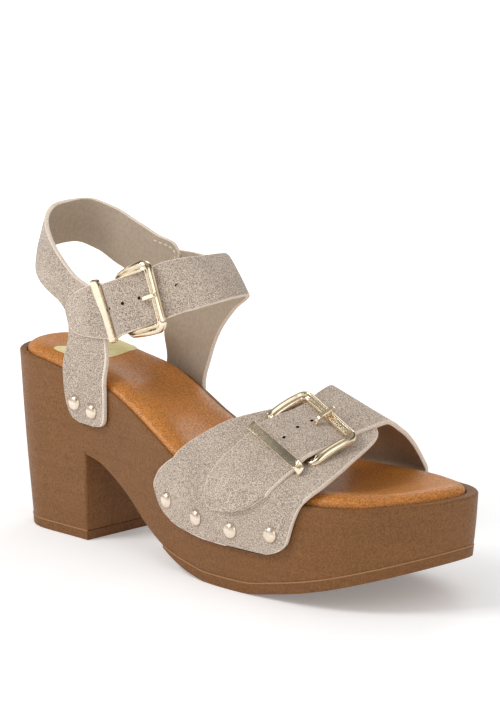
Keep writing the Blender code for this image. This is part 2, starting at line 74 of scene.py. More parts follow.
# Outsole: the heel piece's thickness, where the forefoot's layer starts, how far an edge stands out of
# the sole's wall, and the radius of the seam's bead
HEEL_PIECE = 4.0
OUTSOLE_START = -6.0
PROUD = 0.2
BEAD = 0.32
# Lengths over which one form of the sole passes into the next
BREAST_BLEND = 24.0
SEAM_BLEND = 8.0
OUTSOLE_BLEND = 6.0
# Points from one side of a flat face to the other
FACE_POINTS = 9

# Footbed: its inset from the sole's ends and its share of the sole's width
PAD_HEEL_INSET = 4.6
PAD_TOE_INSET = 5.2
PAD_LATERAL = 0.945
PAD_MEDIAL = 0.83
RECESS = 1.8
PAD_ROLL = 7.0
PAD_DISH_REACH = 15.0
PAD_START = HEEL_X + PAD_HEEL_INSET
PAD_END = TOE_X - PAD_TOE_INSET
PAD_CORNER_POWER = 4.0
PAD_POINTS = 30
# Insets of the rows that go up over the footbed's roll
PAD_INSETS = (0.0, 0.12, 0.35, 0.7, 1.2, 1.9, 2.8, 3.9, 5.3, PAD_ROLL)
PAD_ROLL_POWER = 2.2
PAD_ROLL_FOOT = 0.2
CREASE_START = 0.15

# Leather: lift of a lapped piece, line beside a cut edge, and the leather's middle out from the sole's wall
LAP = 1.5
# The line beside a cut edge is coloured with the pale edge tone: a painted highlight along the edge.
EDGE_HIGHLIGHT_LINE = 0.45
WALL_OFFSET = GAP + 1.0
# Power and fullness of the vamp's arch on each side
LATERAL_ARCH = (1.2, 0.82)
MEDIAL_ARCH = (1.7, 1.0)
# Heights over the rim at which the vamp's arch starts, and at which the ankle's leather leaves the wall
WALL_TOP = 2.0
WALL_CLEAR = 1.0
# Small steps along the two directions of a form, from which its normals are taken
VAMP_STEPS = (-0.5, 0.01)
ANKLE_STEPS = (-0.5, 0.5)


def table(columns, *rows):
    """A table with named columns. The first column is the one that the others are read by."""
    return dict(zip(columns.split(), np.array(rows, float).T))


OUTLINE = table(
    "x lateral medial axis",
    (-122, -23.0, 25.5, 1.0),
    (-92, -24.5, 26.7, 1.0),
    (-62, -25.3, 25.7, 0.5),
    (-40, -27.3, 22.1, -2.0),
    (-17, -30.8, 19.5, -5.0),
    (10, -35.5, 23.0, -5.0),
    (38, -38.5, 32.5, -2.0),
    (63, -38.5, 37.5, 1.0),
    (90, -36.5, 38.7, 6.0),
    (121, -33.5, 37.5, 10.5),
)
RIM = table(
    "x top",
    (-122, 78.8),
    (-101, 77.8),
    (-88, 76.1),
    (-72, 73.4),
    (-48, 69.3),
    (-33, 64.0),
    (-16, 56.4),
    (2, 48.4),
    (20, 43.8),
    (43, 42.0),
    (73, 41.6),
    (96, 42.0),
    (110, 43.2),
    (121, 44.0),
)
UNDERSIDE = table(
    "x ground outsole",
    (-62, 38.6, 0.0),
    (-52, 36.2, 0.0),
    (-42, 31.2, 0.0),
    (-31, 24.6, 0.0),
    (-19, 15.8, 0.0),
    (-8, 9.3, 0.6),
    (1, 5.0, 2.4),
    (12, 1.7, 3.8),
    (24, 0.0, 4.2),
    (44, 0.0, 4.4),
    (66, 3.4, 4.6),
    (85, 7.6, 4.6),
    (102, 12.5, 4.6),
    (121, 18.6, 4.6),
)
# How far a wall draws in with depth, as shares of the distance to the breast and to the axis
HEEL_WALL = table("depth rake taper", (0, 0, 0), (0.5, 0.06, 0.02), (1, 0.14, 0.05))
FORE_WALL = table("depth rake taper", (0, 0, 0), (0.5, 0.005, 0.012), (1, 0.013, 0.035))

# Soft creases where the footbed's lateral roll bends down through the waist
PAD_CREASES = table(
    "x depth width",
    (-58, 0.35, 2.2),
    (-49, 0.5, 2.6),
    (-41, 0.45, 2.0),
    (-33, 0.6, 2.8),
    (-24, 0.4, 2.2),
    (-15, 0.5, 2.6),
    (-5, 0.35, 2.4),
    (8, 0.3, 3.0),
)

# Vamp form: the crest that the leather passes over, and the hem of the lateral panel on the wall
CREST = table(
    "x y z",
    (-12, 9.5, 93.2),
    (18, 10.5, 85.2),
    (48, 11.5, 75.4),
    (82, 13.0, 64.0),
    (100, 14.0, 59.5),
)
HEM = table(
    "x z",
    (-10, 28.0),
    (-5, 25.2),
    (0, 23.3),
    (12.6, 20.2),
    (27, 19.0),
    (57, 19.0),
    (64, 20.0),
    (70, 22.3),
    (74, 26.0),
)
MEDIAL_HEM = 20.0
# Leather pieces lie in rows between two edges. On the vamp an edge is given by x and by across, which is
# 0 at the lateral hem, 1 at the lateral rim, 2 on the crest, 3 at the medial rim and 4 at the medial hem
PANEL = table(
    "row low_x low_across high_x high_across lift",
    (0, 4.0, 0.0, 60.0, 0.0, 0),
    (1, -3.5, 0.05, 67.5, 0.05, 0),
    (2, -7.5, 0.13, 71.0, 0.13, 0),
    (3, -9.7, 0.27, 72.4, 0.27, 0),
    (4, -6.5, 0.55, 74.6, 0.55, 0),
    (5, -1.0, 0.8, 76.8, 0.8, 0),
    (6, 5.0, 1.0, 79.5, 1.0, 0),
    (7, 12.2, 1.17, 82.0, 1.17, 0),
    (8, 20.0, 1.34, 82.4, 1.34, 0),
    (9, 28.5, 1.48, 82.0, 1.48, 0),
    (10, 35.8, 1.6, 81.6, 1.6, 0),
    (11, 43.5, 1.75, 80.6, 1.75, 0),
    (12, 49.0, 1.85, 78.6, 1.85, 0),
    (13, 55.0, 1.92, 74.0, 1.92, 0),
)
STRAP = table(
    "row low_x low_across high_x high_across lift",
    (0, 32.4, 0.54, 43.6, 0.585, LAP),
    (1, 29.1, 0.59, 48.6, 0.665, LAP),
    (2, 27.6, 0.70, 53.5, 0.77, LAP),
    (3, 27.4, 0.82, 58.4, 0.91, LAP),
    (4, 28.6, 0.96, 62.0, 0.99, LAP),
    (5, 29.8, 1.035, 64.0, 1.055, LAP),
    (6, 31.3, 1.115, 64.9, 1.114, LAP),
    (7, 34.1, 1.234, 65.9, 1.165, LAP + 0.3),
    (8, 36.9, 1.375, 67.2, 1.2, 2.8),
    (9, 39.4, 1.43, 67.8, 1.245, 4.1),
    (10, 40.8, 1.47, 68.2, 1.29, 4.3),
    (11, 42.4, 1.525, 69.0, 1.345, 4.0),
    (12, 44.6, 1.635, 70.4, 1.46, 2.5),
    (13, 45.8, 1.735, 71.4, 1.57, LAP + 0.3),
    (14, 45.6, 1.81, 72.1, 1.65, LAP),
    (15, 45.8, 1.92, 74.6, 1.82, LAP),
    (16, 46.0, 2.02, 76.6, 1.98, LAP),
    (17, 45.8, 2.12, 77.2, 2.12, 0.8),
    (18, 44.6, 2.3, 77.4, 2.3, 0),
    (19, 42.4, 2.6, 76.8, 2.6, 0),
    (20, 39.8, 3.0, 75.6, 3.0, 0),
    (21, 38.6, 3.3, 76.0, 3.3, 0),
    (22, 38.8, 3.75, 77.4, 3.75, 0),
    (23, 41.5, 3.92, 76.0, 3.92, 0),
    (24, 46.0, 4.0, 71.5, 4.0, 0),
)

# Ankle form: an oval round the heel, by height, read by the turn from the front in degrees
OVAL_X = -47.0
OVAL_Y = 0.0
OVAL_HALF = 24.6
OVAL_POWER = 2.4
OVAL = table(
    "z front rear",
    (40, 16.0, -106.0),
    (95, 10.0, -107.0),
    (105, 6.5, -109.5),
    (113, 1.0, -111.2),
    (121, -6.0, -110.0),
    (129, -13.5, -107.0),
    (143, -17.0, -101.0),
)
WALL_BLEND = 14.0
# Round the ankle an edge is given by its turn and its height
HEEL_BAND = table(
    "row low_turn low_z high_turn high_z lift",
    (0, -101.0, 52.6, -93.5, 52.2, 0),
    (1, -106.2, 54.4, -90.5, 53.0, 0),
    (2, -109.8, 59.5, -89.3, 57.0, 0),
    (3, -111.6, 68.0, -89.2, 66.0, 0),
    (4, -112.2, 80.0, -89.8, 78.0, 0),
    (5, -111.2, 91.0, -90.4, 90.0, 0),
    (6, -112.6, 98.5, -91.5, 102.0, 0),
    (7, -118.0, 103.0, -95.0, 110.5, 0),
    (8, -127.0, 105.8, -104.5, 115.0, 0),
    (9, -140.0, 109.5, -118.0, 123.5, 0),
    (10, -158.0, 116.0, -144.0, 135.5, 0),
    (11, -178.0, 122.0, -174.0, 142.3, 0),
    (12, -200.0, 123.5, -200.0, 143.6, 0),
    (13, -219.0, 120.0, -224.0, 139.8, 0),
    (14, -236.0, 113.5, -244.0, 133.8, -LAP),
    (15, -250.0, 108.5, -256.0, 129.0, -LAP),
    (16, -261.0, 108.0, -264.5, 126.2, -LAP),
    (17, -266.0, 112.0, -267.4, 121.5, -LAP),
)
FRONT_STRAP = table(
    "row low_turn low_z high_turn high_z lift",
    (0, 88.0, 45.0, 98.0, 45.4, 0),
    (1, 84.5, 46.8, 101.5, 47.6, 0),
    (2, 83.5, 53.0, 102.8, 55.0, 0),
    (3, 83.4, 65.0, 103.0, 69.0, 0),
    (4, 81.3, 77.0, 102.0, 81.0, 0),
    (5, 75.5, 89.5, 101.3, 95.5, 0),
    (6, 60.0, 102.0, 101.5, 112.0, 0),
    (7, 32.0, 108.9, 101.2, 123.2, 0),
    (8, 14.0, 110.5, 91.5, 123.0, 0),
    (9, 3.0, 110.5, 58.0, 121.0, 0),
    (10, -9.0, 110.0, 24.0, 126.4, 0),
    (11, -23.0, 108.8, 2.0, 127.0, 0),
    (12, -36.0, 107.0, -20.0, 126.9, 0),
    (13, -46.0, 105.4, -42.0, 125.4, 0.6),
    (14, -56.5, 102.6, -62.0, 121.9, LAP),
    (15, -67.0, 99.3, -73.5, 119.4, 2.5),
    (16, -75.0, 96.3, -81.8, 117.2, 4.8),
    (17, -77.5, 95.2, -84.5, 116.4, 5.2),
    (18, -80.0, 94.1, -87.0, 115.6, 4.8),
    (19, -84.0, 92.3, -90.5, 114.4, 2.8),
    (20, -88.5, 91.0, -95.0, 113.0, LAP),
    (21, -94.0, 90.4, -100.5, 110.2, LAP),
    (22, -101.0, 90.3, -106.5, 106.2, LAP),
    (23, -106.5, 92.0, -109.6, 102.6, LAP),
    (24, -109.4, 95.0, -110.6, 99.0, LAP),
)

# Each buckle's two bars, by their place on the form and height above it, and its inner width
VAMP_BUCKLE = ((53.8, 1.38, 2.2), (60.2, 1.72, 4.7))
ANKLE_BUCKLE = ((-80.4, 105.9, 2.4), (-57.8, 112.0, 4.5))
VAMP_BUCKLE_WIDTH = 33.0
ANKLE_BUCKLE_WIDTH = 24.8
# How far a keeper's legs splay, as a share of the strap's width, and how far they drop: low leg and high leg
VAMP_KEEPER_LEGS = ((0.05, 2.6), (0.085, 2.9))
ANKLE_KEEPER_LEGS = ((0.04, 1.6), (0.04, 1.4))
# The bend above a leg, by its share past the edge and its drop, and the share that a leg sets out from
KEEPER_BEND = ((0.045, 0.6), (0.03, 0.0))
KEEPER_LEG_START = 0.04
KEEPER_ROUND = 0.28
# Share of its height that the bar under the strap gives up
HIDDEN_BAR = 0.4
# Rows of the strap that each keeper covers, by the share of the strap's width from its low edge
VAMP_KEEPER_ROWS = table(
    "share start end", (0, 7.62, 8.24), (0.3, 7.66, 8.42), (0.7, 7.62, 8.66), (1, 7.43, 8.78)
)
ANKLE_KEEPER_ROWS = table("share start end", (0, 18.87, 19.63), (0.5, 18.85, 19.59), (1, 18.87, 19.63))

# Punched holes, by their place on the form
VAMP_HOLES = ((53.2, 1.37), (53.7, 1.5), (55.1, 1.62))
ANKLE_HOLES = ((-42.5, 116.1), (-69.4, 110.4), (-77.8, 107.8), (-85.6, 104.7))

# Studs, by their place on the sole's walls
STUDS = (
    ("stud_vamp_lateral", "lateral", ((0.3, 30.7), (20.4, 27.3), (41.2, 26.0), (63.0, 28.2))),
    ("stud_vamp_medial", "medial", ((46.0, 28.2), (54.5, 27.2), (63.0, 27.2), (71.5, 28.2))),
    ("stud_heel_lateral", "lateral", ((-65.3, 60.9), (-53.8, 58.8))),
    ("stud_heel_medial", "medial", ((-57.5, 54.0), (-46.0, 52.0))),
)

# Plain foil patch on the heel of the footbed
PATCH_X = (-91.0, -72.5)
PATCH_Y = (-18.5, 18.5)
PATCH_CORNER = 4.0
PATCH_ABOVE = 0.12
PATCH_THICKNESS = 0.2


def number(label, description, default, **kind):
    return FloatProperty(name=label, description=description, default=default, **kind)


def size(label, description, millimetres):
    return number(label, description, millimetres * MM, subtype="DISTANCE")


def colour(label, description, *default):
    return FloatVectorProperty(
        name=label, description=description, default=default, size=3, min=0.0, max=1.0, subtype="COLOR"
    )


class SandalSizes(bpy.types.PropertyGroup):
    """Sizes that a maker would change."""

    leather: size("Leather", "Thickness of a strap", 2.0)
    leather_edge: size("Cut edge", "Rounding of a strap's cut edges", 0.45)
    rim_round: size("Rim rounding", "Rounding of the sole's upper rim", 1.3)
    seam_round: size("Seam rounding", "Rounding beside the outsole's seam", 0.4)
    breast_round: size("Breast rounding", "Rounding of the heel's front corners", 1.2)
    pad_rise: size("Padding", "Height of the footbed's roll over the rim", 4.0)
    pad_dish: size("Dish", "Depth that the footbed dishes by", 1.6)
    bar_width: size("Buckle bar", "Width of a buckle's bars", 3.2)
    bar_height: size("Bar height", "Height of a buckle's bars", 3.2)
    bow: size("Buckle bow", "Height that a buckle's sides arch by", 1.0)
    keeper: size("Keeper", "Thickness of a keeper's metal", 1.4)
    prong: size("Prong", "Width of a buckle's prong", 1.9)
    hole: size("Hole", "Radius of a punched hole", 0.75)
    stud_radius: size("Stud radius", "Radius of a stud's head", 3.3)
    stud_height: size("Stud height", "Height of a stud's dome", 2.0)
    stitch: size("Stitch", "Length of a stitch", 2.2)


class SandalFinishes(bpy.types.PropertyGroup):
    """Colours of the finishes."""

    suede_light: colour("Suede, light", "Tips of the suede's nap", 0.74, 0.612, 0.5)
    suede_dark: colour("Suede, dark", "Depths of the suede's nap", 0.165, 0.128, 0.1)
    # The cut edge's pale tone is partly the raw leather's own and partly a painted highlight, which also
    # colours the line beside each edge on the suede face.
    raw_edge_and_highlight: colour("Cut edge", "Raw edge of the leather", 0.76, 0.65, 0.545)
    lining: colour("Lining", "Smooth inner side of the ankle straps", 0.44, 0.36, 0.275)
    # The vamp's lining is the ankle's leather drawn darker and browner: painted shade under the vamp and a
    # painted orange bounce from the footbed.
    vamp_lining: colour("Vamp lining", "Inner side of the vamp, browner than the ankle's", 0.39, 0.285, 0.19)
    sole_brown: colour("Sole", "Moulded sole", 0.205, 0.090, 0.031)
    outsole_brown: colour("Outsole", "Rubber outsole and heel piece", 0.19, 0.083, 0.029)
    footbed_tan: colour("Footbed", "Padded leather footbed", 0.52, 0.195, 0.038)
    gold: colour("Gold", "Polished pale gold metal", 0.86, 0.735, 0.55)
    stud: colour("Stud", "Satin pinkish gold of the studs", 0.88, 0.75, 0.62)
    # The seam bead's pale tone is a painted highlight along the outsole's seam.
    seam: colour("Seam", "Pale bead along the outsole's seam", 0.36, 0.185, 0.08)
    foil: colour("Foil", "Gold foil of the heel patch", 0.97, 0.84, 0.42)
    thread: colour("Thread", "Sewing thread", 0.72, 0.65, 0.55)
    # A punched hole's wall is coloured near black: painted shade inside the hole.
    hole: colour("Hole", "Inside of a punched hole", 0.03, 0.022, 0.018)


class SandalStage(bpy.types.PropertyGroup):
    """Camera, light and floor."""

    azimuth: number("Azimuth", "Camera's turn", math.radians(44), subtype="ANGLE")
    elevation: number("Elevation", "Camera's height angle", math.radians(10.41), subtype="ANGLE")
    distance: number("Distance", "Camera's distance from its target", 1.0, subtype="DISTANCE")
    target: FloatVectorProperty(
        name="Target",
        description="Point that the camera looks at",
        default=(0.0093, 0.0035, 0.0845),
        subtype="XYZ",
    )
    lens: number("Lens", "Focal length in millimetres", 120.07)
    floor: colour("Floor", "Pale studio floor", 0.92, 0.92, 0.92)
    sky: number("Sky", "Strength of the studio's overall light", 0.64)
    key: number("Key", "Power of the main soft light", 12.8, unit="POWER")
    fill: number("Fill", "Power of the fill and back lights", 2.4, unit="POWER")


def sizes_and_colours(context):
    return context.scene.sandal_sizes, context.scene.sandal_finishes


# Forms


def follow(rows, column, at):
    """A smooth curve through one column of a table, which never overshoots its rows."""
    keys = next(iter(rows.values()))
    values = rows[column]
    at = np.clip(np.asarray(at, float), keys[0], keys[-1])
    step = np.diff(keys)
    slope = np.diff(values) / step
    before, after = slope[:-1], slope[1:]
    rising = before * after > 0
    inner = np.where(rising, 2 * before * after / np.where(rising, before + after, 1.0), 0.0)
    tangent = np.concatenate([slope[:1], inner, slope[-1:]])
    i = np.clip(np.searchsorted(keys, at, side="right") - 1, 0, len(step) - 1)
    t = (at - keys[i]) / step[i]
    return (
        (2 * t**3 - 3 * t**2 + 1) * values[i]
        + (t**3 - 2 * t**2 + t) * step[i] * tangent[i]
        + (3 * t**2 - 2 * t**3) * values[i + 1]
        + (t**3 - t**2) * step[i] * tangent[i + 1]
    )


def ease(share):
    """A smooth step from 0 to 1."""
    share = np.clip(share, 0, 1)
    return share * share * (3 - 2 * share)


def end_round(x):
    """Share of the full width that is left where the heel and the toe round off."""
    from_heel = np.clip((x - HEEL_X) / HEEL_ROUND, 0, 1)
    from_toe = np.clip((TOE_X - x) / TOE_ROUND, 0, 1)
    rounds = [np.sqrt(np.maximum(1 - (1 - part) ** ROUND_POWER, 0)) for part in (from_heel, from_toe)]
    return rounds[0] * rounds[1]


def axis(x):
    return follow(OUTLINE, "axis", x)


def wall(x, side):
    """The Y of the sole's wall at its rim: the lateral wall for a side below 0, and else the medial one."""
    full = np.where(np.asarray(side) < 0, follow(OUTLINE, "lateral", x), follow(OUTLINE, "medial", x))
    return axis(x) + (full - axis(x)) * end_round(x)


def rim(x):
    return follow(RIM, "top", x)


def ground(x):
    return follow(UNDERSIDE, "ground", x)


def outsole_top(x):
    return ground(x) + follow(UNDERSIDE, "outsole", x)


def on_wall(x, side, z):
    """A point of the sole's side at height z, drawn in with depth by the heel's or the forefoot's draft."""
    height = rim(x)
    fore = ease((x - BREAST_X) / BREAST_BLEND)
    heel_depth = (height - z) / height
    fore_depth = (height - z) / (height - ground(x))
    draws = {}
    for key in ("rake", "taper"):
        heel_draw = follow(HEEL_WALL, key, heel_depth)
        draws[key] = heel_draw + (follow(FORE_WALL, key, fore_depth) - heel_draw) * fore
    y = axis(x) + (wall(x, side) - axis(x)) * (1 - draws["taper"])
    return np.stack([BREAST_X + (x - BREAST_X) * (1 - draws["rake"]), y, z + 0 * x], -1)


def vamp(x, across):
    """The form of the leather over the forefoot."""
    side = across - 2
    edge = wall(x, side) + np.where(side < 0, -WALL_OFFSET, WALL_OFFSET)
    corner = rim(x) + WALL_TOP
    from_crest = np.abs(side)
    hem = np.where(side < 0, follow(HEM, "z", x), MEDIAL_HEM)
    crest_y, crest_z = follow(CREST, "y", x), follow(CREST, "z", x)
    power, fullness = (np.where(side < 0, *pair) for pair in zip(LATERAL_ARCH, MEDIAL_ARCH))
    arch = (1 - np.clip(from_crest, 0, 1) ** power) ** fullness
    below = from_crest > 1
    y = np.where(below, edge, crest_y + (edge - crest_y) * from_crest)
    z = np.where(below, corner + (hem - corner) * (from_crest - 1), corner + (crest_z - corner) * arch)
    return np.stack([x + 0 * z, y, z], -1)


def ankle(turn, z):
    """The form of the leather round the ankle: an oval above, and the sole's wall below."""
    cosine, sine = np.cos(np.radians(turn)), np.sin(np.radians(turn))
    reach = np.where(cosine > 0, follow(OVAL, "front", z), follow(OVAL, "rear", z)) - OVAL_X
    x = OVAL_X + reach * np.abs(cosine) ** (2 / OVAL_POWER)
    y = OVAL_Y + np.copysign(OVAL_HALF * np.abs(sine) ** (2 / OVAL_POWER), sine)
    on_sole = wall(x, sine) + np.where(sine < 0, -WALL_OFFSET, WALL_OFFSET)
    above = ease((z - rim(x) - WALL_CLEAR) / WALL_BLEND)
    return np.stack([x, on_sole + (y - on_sole) * above, z + 0 * x], -1)


def normal_of(form, a, b, steps):
    along = form(a + steps[0], b) - form(a - steps[0], b)
    over = form(a, b + steps[1]) - form(a, b - steps[1])
    cross = np.cross(over, along)
    return cross / np.linalg.norm(cross, axis=-1, keepdims=True)


def lifted(form, a, b, lift, steps):
    """A form's points moved along its outward normals."""
    a, b, lift = np.asarray(a, float), np.asarray(b, float), np.asarray(lift, float)
    return form(a, b) + lift[..., None] * normal_of(form, a, b, steps)


def edge_places(edges, rows, shares):
    """Places on a leather piece's form, row by row from its low edge to its high edge, and their lifts."""
    names = list(edges)
    places = []
    for low_name, high_name in ((names[1], names[3]), (names[2], names[4])):
        low, high = follow(edges, low_name, rows)[:, None], follow(edges, high_name, rows)[:, None]
        places.append(low + (high - low) * shares[None, :])
    lift = np.repeat(follow(edges, "lift", rows)[:, None], len(shares), 1)
    return places[0], places[1], lift


def band(form, edges, steps, rows, columns):
    """Points of a leather piece, with a narrow column along each of its edges."""
    rows = np.linspace(edges["row"][0], edges["row"][-1], rows)
    ends = lifted(form, *edge_places(edges, rows, np.array((0.0, 1.0))), steps)
    margin = EDGE_HIGHLIGHT_LINE / np.median(np.linalg.norm(ends[:, 1] - ends[:, 0], axis=1))
    shares = np.concatenate([[0], np.linspace(margin, 1 - margin, columns - 2), [1]])
    return lifted(form, *edge_places(edges, rows, shares), steps)


# Stations round the sole, in one loop that starts and ends at the breast's lateral corner

HEEL_COUNT = 36
FORE_COUNT = 110
OUTSOLE_COUNT = 80


def quarter(steps):
    """Angles of a quarter turn."""
    return np.linspace(0, math.pi / 2, steps + 1)


def loop_stations():
    """X and side of the loop: lateral breast, heel, medial breast, toe and back."""
    heel = HEEL_X + (BREAST_X - HEEL_X) * (1 - np.cos(quarter(HEEL_COUNT)))
    fore = BREAST_X + (TOE_X - BREAST_X) * np.sin(quarter(FORE_COUNT))
    x = np.concatenate([heel[::-1], heel[1:], fore[1:], fore[::-1][1:]])
    side = np.repeat([-1.0, 1.0, -1.0], [HEEL_COUNT + 1, HEEL_COUNT + FORE_COUNT, FORE_COUNT])
    return x, side


def pairs():
    """Columns of the loop that face each other, from the heel to the toe: lateral ones and medial ones."""
    heel = np.arange(HEEL_COUNT + 1)
    fore = np.arange(1, FORE_COUNT + 1)
    last = 2 * (HEEL_COUNT + FORE_COUNT)
    lateral = np.concatenate([HEEL_COUNT - heel, last - fore])
    medial = np.concatenate([HEEL_COUNT + heel, 2 * HEEL_COUNT + fore])
    return lateral, medial


def plan_normals(points):
    """Outward normals, seen from above, of a closed loop whose last point is its first."""
    ring = points[:-1, :2]
    tangent = np.roll(ring, -1, 0) - np.roll(ring, 1, 0)
    normal = np.stack([-tangent[:, 1], tangent[:, 0]], -1)
    normal /= np.linalg.norm(normal, axis=1, keepdims=True)
    return np.concatenate([normal, normal[:1]])


def strip(row, columns, count=FACE_POINTS):
    """Rows of points between facing columns of one loop."""
    lateral, medial = row[columns[0]], row[columns[1]]
    return lateral[:, None] + (medial - lateral)[:, None] * np.linspace(0, 1, count)[None, :, None]


def heights(points, z):
    return np.concatenate([points[..., :2], np.broadcast_to(z, points.shape[:-1])[..., None]], -1)


def pad_loop(grow=0.0):
    """The footbed's edge, station by station beside the sole's loop."""
    x, side = loop_stations()
    share = (x - HEEL_X) / (TOE_X - HEEL_X)
    scale = np.where(side < 0, PAD_LATERAL, PAD_MEDIAL)
    y = axis(x) + (wall(x, side) - axis(x)) * scale
    edge = np.stack([PAD_START + (PAD_END - PAD_START) * share, y], -1)
    return edge + plan_normals(edge) * grow


def pad_top(x, y, sizes):
    """Height of the footbed inside its roll, where it dishes a little under the foot."""
    on_sole = HEEL_X + (x - PAD_START) / (PAD_END - PAD_START) * (TOE_X - HEEL_X)
    middle = axis(on_sole)
    lateral = middle + (wall(on_sole, -1) - middle) * PAD_LATERAL
    medial = middle + (wall(on_sole, 1) - middle) * PAD_MEDIAL
    room = [np.maximum(d, 0.1) for d in (y - lateral, medial - y, x - PAD_START, PAD_END - x)]
    inside = sum(d**-PAD_CORNER_POWER for d in room) ** (-1 / PAD_CORNER_POWER)
    dish = sizes.pad_dish / MM * ease((inside - PAD_ROLL) / PAD_DISH_REACH)
    return rim(x) + sizes.pad_rise / MM - dish


# Meshes


def deselect():
    bpy.ops.object.select_all(action="DESELECT")


def make_active(piece):
    deselect()
    piece.select_set(True)
    bpy.context.view_layer.objects.active = piece


def sheet_of(name, points):
    """A grid primitive whose points are placed row by row."""
    rows, columns, _ = points.shape
    deselect()
    bpy.ops.mesh.primitive_grid_add(x_subdivisions=columns - 1, y_subdivisions=rows - 1, size=1)
    made = bpy.context.object
    made.name = made.data.name = name
    made.data.vertices.foreach_set("co", (points * MM).astype(np.float32).ravel())
    made.data.update()
    return made


def join(pieces):
    deselect()
    for piece in pieces:
        piece.select_set(True)
    bpy.context.view_layer.objects.active = pieces[0]
    bpy.ops.object.join()
    return pieces[0]


@contextmanager
def editing(piece, selected="SELECT"):
    """Edit mode on one piece, with all of it selected or none."""
    make_active(piece)
    bpy.ops.object.mode_set(mode="EDIT")
    bpy.ops.mesh.select_all(action=selected)
    yield
    bpy.ops.object.mode_set(mode="OBJECT")


def weld(piece, distance=2e-5):
    """Merges the seams of a closed piece and turns its faces outwards."""
    with editing(piece):
        bpy.ops.mesh.remove_doubles(threshold=distance)
        bpy.ops.mesh.dissolve_degenerate(threshold=1e-6)
        bpy.ops.mesh.normals_make_consistent(inside=False)
    return piece


def closed_piece(name, sheets):
    return weld(join([sheet_of(name if i == 0 else f"{name}_part", s) for i, s in enumerate(sheets)]))


def add_modifier(piece, kind, **settings):
    modifier = piece.modifiers.new(kind.title(), kind)
    for key, value in settings.items():
        setattr(modifier, key, value)
    make_active(piece)
    bpy.ops.object.modifier_apply(modifier=modifier.name)


def round_edges(piece, width, angle=50, segments=2, material=-1):
    add_modifier(
        piece,
        "BEVEL",
        width=width,
        segments=segments,
        limit_method="ANGLE",
        angle_limit=math.radians(angle),
        use_clamp_overlap=False,
        material=material,
        miter_outer="MITER_ARC",
    )


def bevel_edges(piece, chosen, width, segments=3):
    """Bevels the edges that a test on their two ends picks."""
    with editing(piece, "DESELECT"):
        bpy.ops.mesh.select_mode(type="EDGE")
        shape = bmesh.from_edit_mesh(piece.data)
        for edge in shape.edges:
            edge.select_set(chosen(*(Vector(v.co) / MM for v in edge.verts)))
        bmesh.update_edit_mesh(piece.data)
        bpy.ops.mesh.bevel(offset=width, segments=segments)


def hand_over(piece, finishes, slot, *nodes, smooth=35):
    """Shades a finished piece, gives it its finishes and sets it on the frame."""
    make_active(piece)
    bpy.ops.object.shade_smooth_by_angle(angle=math.radians(smooth))
    for finish in finishes:
        piece.data.materials.append(finish)
    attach(piece, BODY)
    if nodes:
        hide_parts(*nodes)
    return piece


# Finishes


def node(tree, kind, inputs=(), **settings):
    """A shader node with its settings, and its inputs set or linked."""
    made = tree.nodes.new(f"ShaderNode{kind}")
    for name, value in settings.items():
        setattr(made, name, value)
    for name, value in dict(inputs).items():
        if isinstance(value, bpy.types.NodeSocket):
            tree.links.new(value, made.inputs[name])
        else:
            made.inputs[name].default_value = value
    return made


def new_group(name, inputs, outputs):
    """An empty shader node group, with named sockets and their kinds."""
    tree = bpy.data.node_groups.new(name, "ShaderNodeTree")
    for way, sockets in (("INPUT", inputs), ("OUTPUT", outputs)):
        for label, kind in sockets.items():
            tree.interface.new_socket(label, in_out=way, socket_type=f"NodeSocket{kind}")
    return tree, tree.nodes.new("NodeGroupInput").outputs, tree.nodes.new("NodeGroupOutput").inputs


def once(store):
    """Makes a finish or a node group the first time that it is asked for, and finds it after that."""

    def keep(make):
        def find(name, *values, **sockets):
            return getattr(bpy.data, store).get(name) or make(name, *values, **sockets)

        return find

    return keep


@once("node_groups")
def fleck_group(name):
    """Fine flecks of two colours, with a slow drift in tone."""
    numbers = dict.fromkeys(("Scale", "Drift Scale", "Drift"), "Float")
    inputs = {"Vector": "Vector", **numbers, "Dark": "Color", "Light": "Color"}
    tree, given, out = new_group(name, inputs, {"Color": "Color", "Height": "Float"})
    place = given["Vector"]
    texture = {"Vector": place, "Scale": given["Scale"], "Detail": 3.0, "Roughness": 0.75}
    fine = node(tree, "TexNoise", texture)
    spread = node(tree, "MapRange", {"Value": fine.outputs["Fac"], "From Min": 0.4, "From Max": 0.6})
    slow = node(tree, "TexNoise", {"Vector": place, "Scale": given["Drift Scale"], "Detail": 2.0})
    shifted = node(tree, "Math", {0: slow.outputs["Fac"], 1: 0.5}, operation="SUBTRACT")
    terms = {0: shifted.outputs[0], 1: given["Drift"], 2: spread.outputs["Result"]}
    share = node(tree, "Math", terms, operation="MULTIPLY_ADD", use_clamp=True)
    mixed = node(tree, "Mix", {0: share.outputs[0], 6: given["Dark"], 7: given["Light"]}, data_type="RGBA")
    tree.links.new(mixed.outputs[2], out["Color"])
    tree.links.new(fine.outputs["Fac"], out["Height"])
    return tree


@once("node_groups")
def pebble_group(name):
    """Pebbled grain of moulded or finished leather: rounded cells broken up by noise."""
    outputs = {"Height": "Float", "Pits": "Float"}
    tree, given, out = new_group(name, {"Vector": "Vector", "Scale": "Float"}, outputs)
    place = {"Vector": given["Vector"], "Scale": given["Scale"]}
    cells = node(tree, "TexVoronoi", {**place, "Smoothness": 0.6}, feature="SMOOTH_F1").outputs["Distance"]
    rough = node(tree, "TexNoise", {**place, "Detail": 4.0}).outputs["Fac"]
    height = node(tree, "Math", {0: cells, 1: -0.9, 2: rough}, operation="MULTIPLY_ADD")
    pits = node(tree, "MapRange", {"Value": cells, "From Min": 0.35, "From Max": 0.75})
    tree.links.new(height.outputs[0], out["Height"])
    tree.links.new(pits.outputs["Result"], out["Pits"])
    return tree


def shade(tone, share):
    return [min(c * share, 1.0) for c in tone]


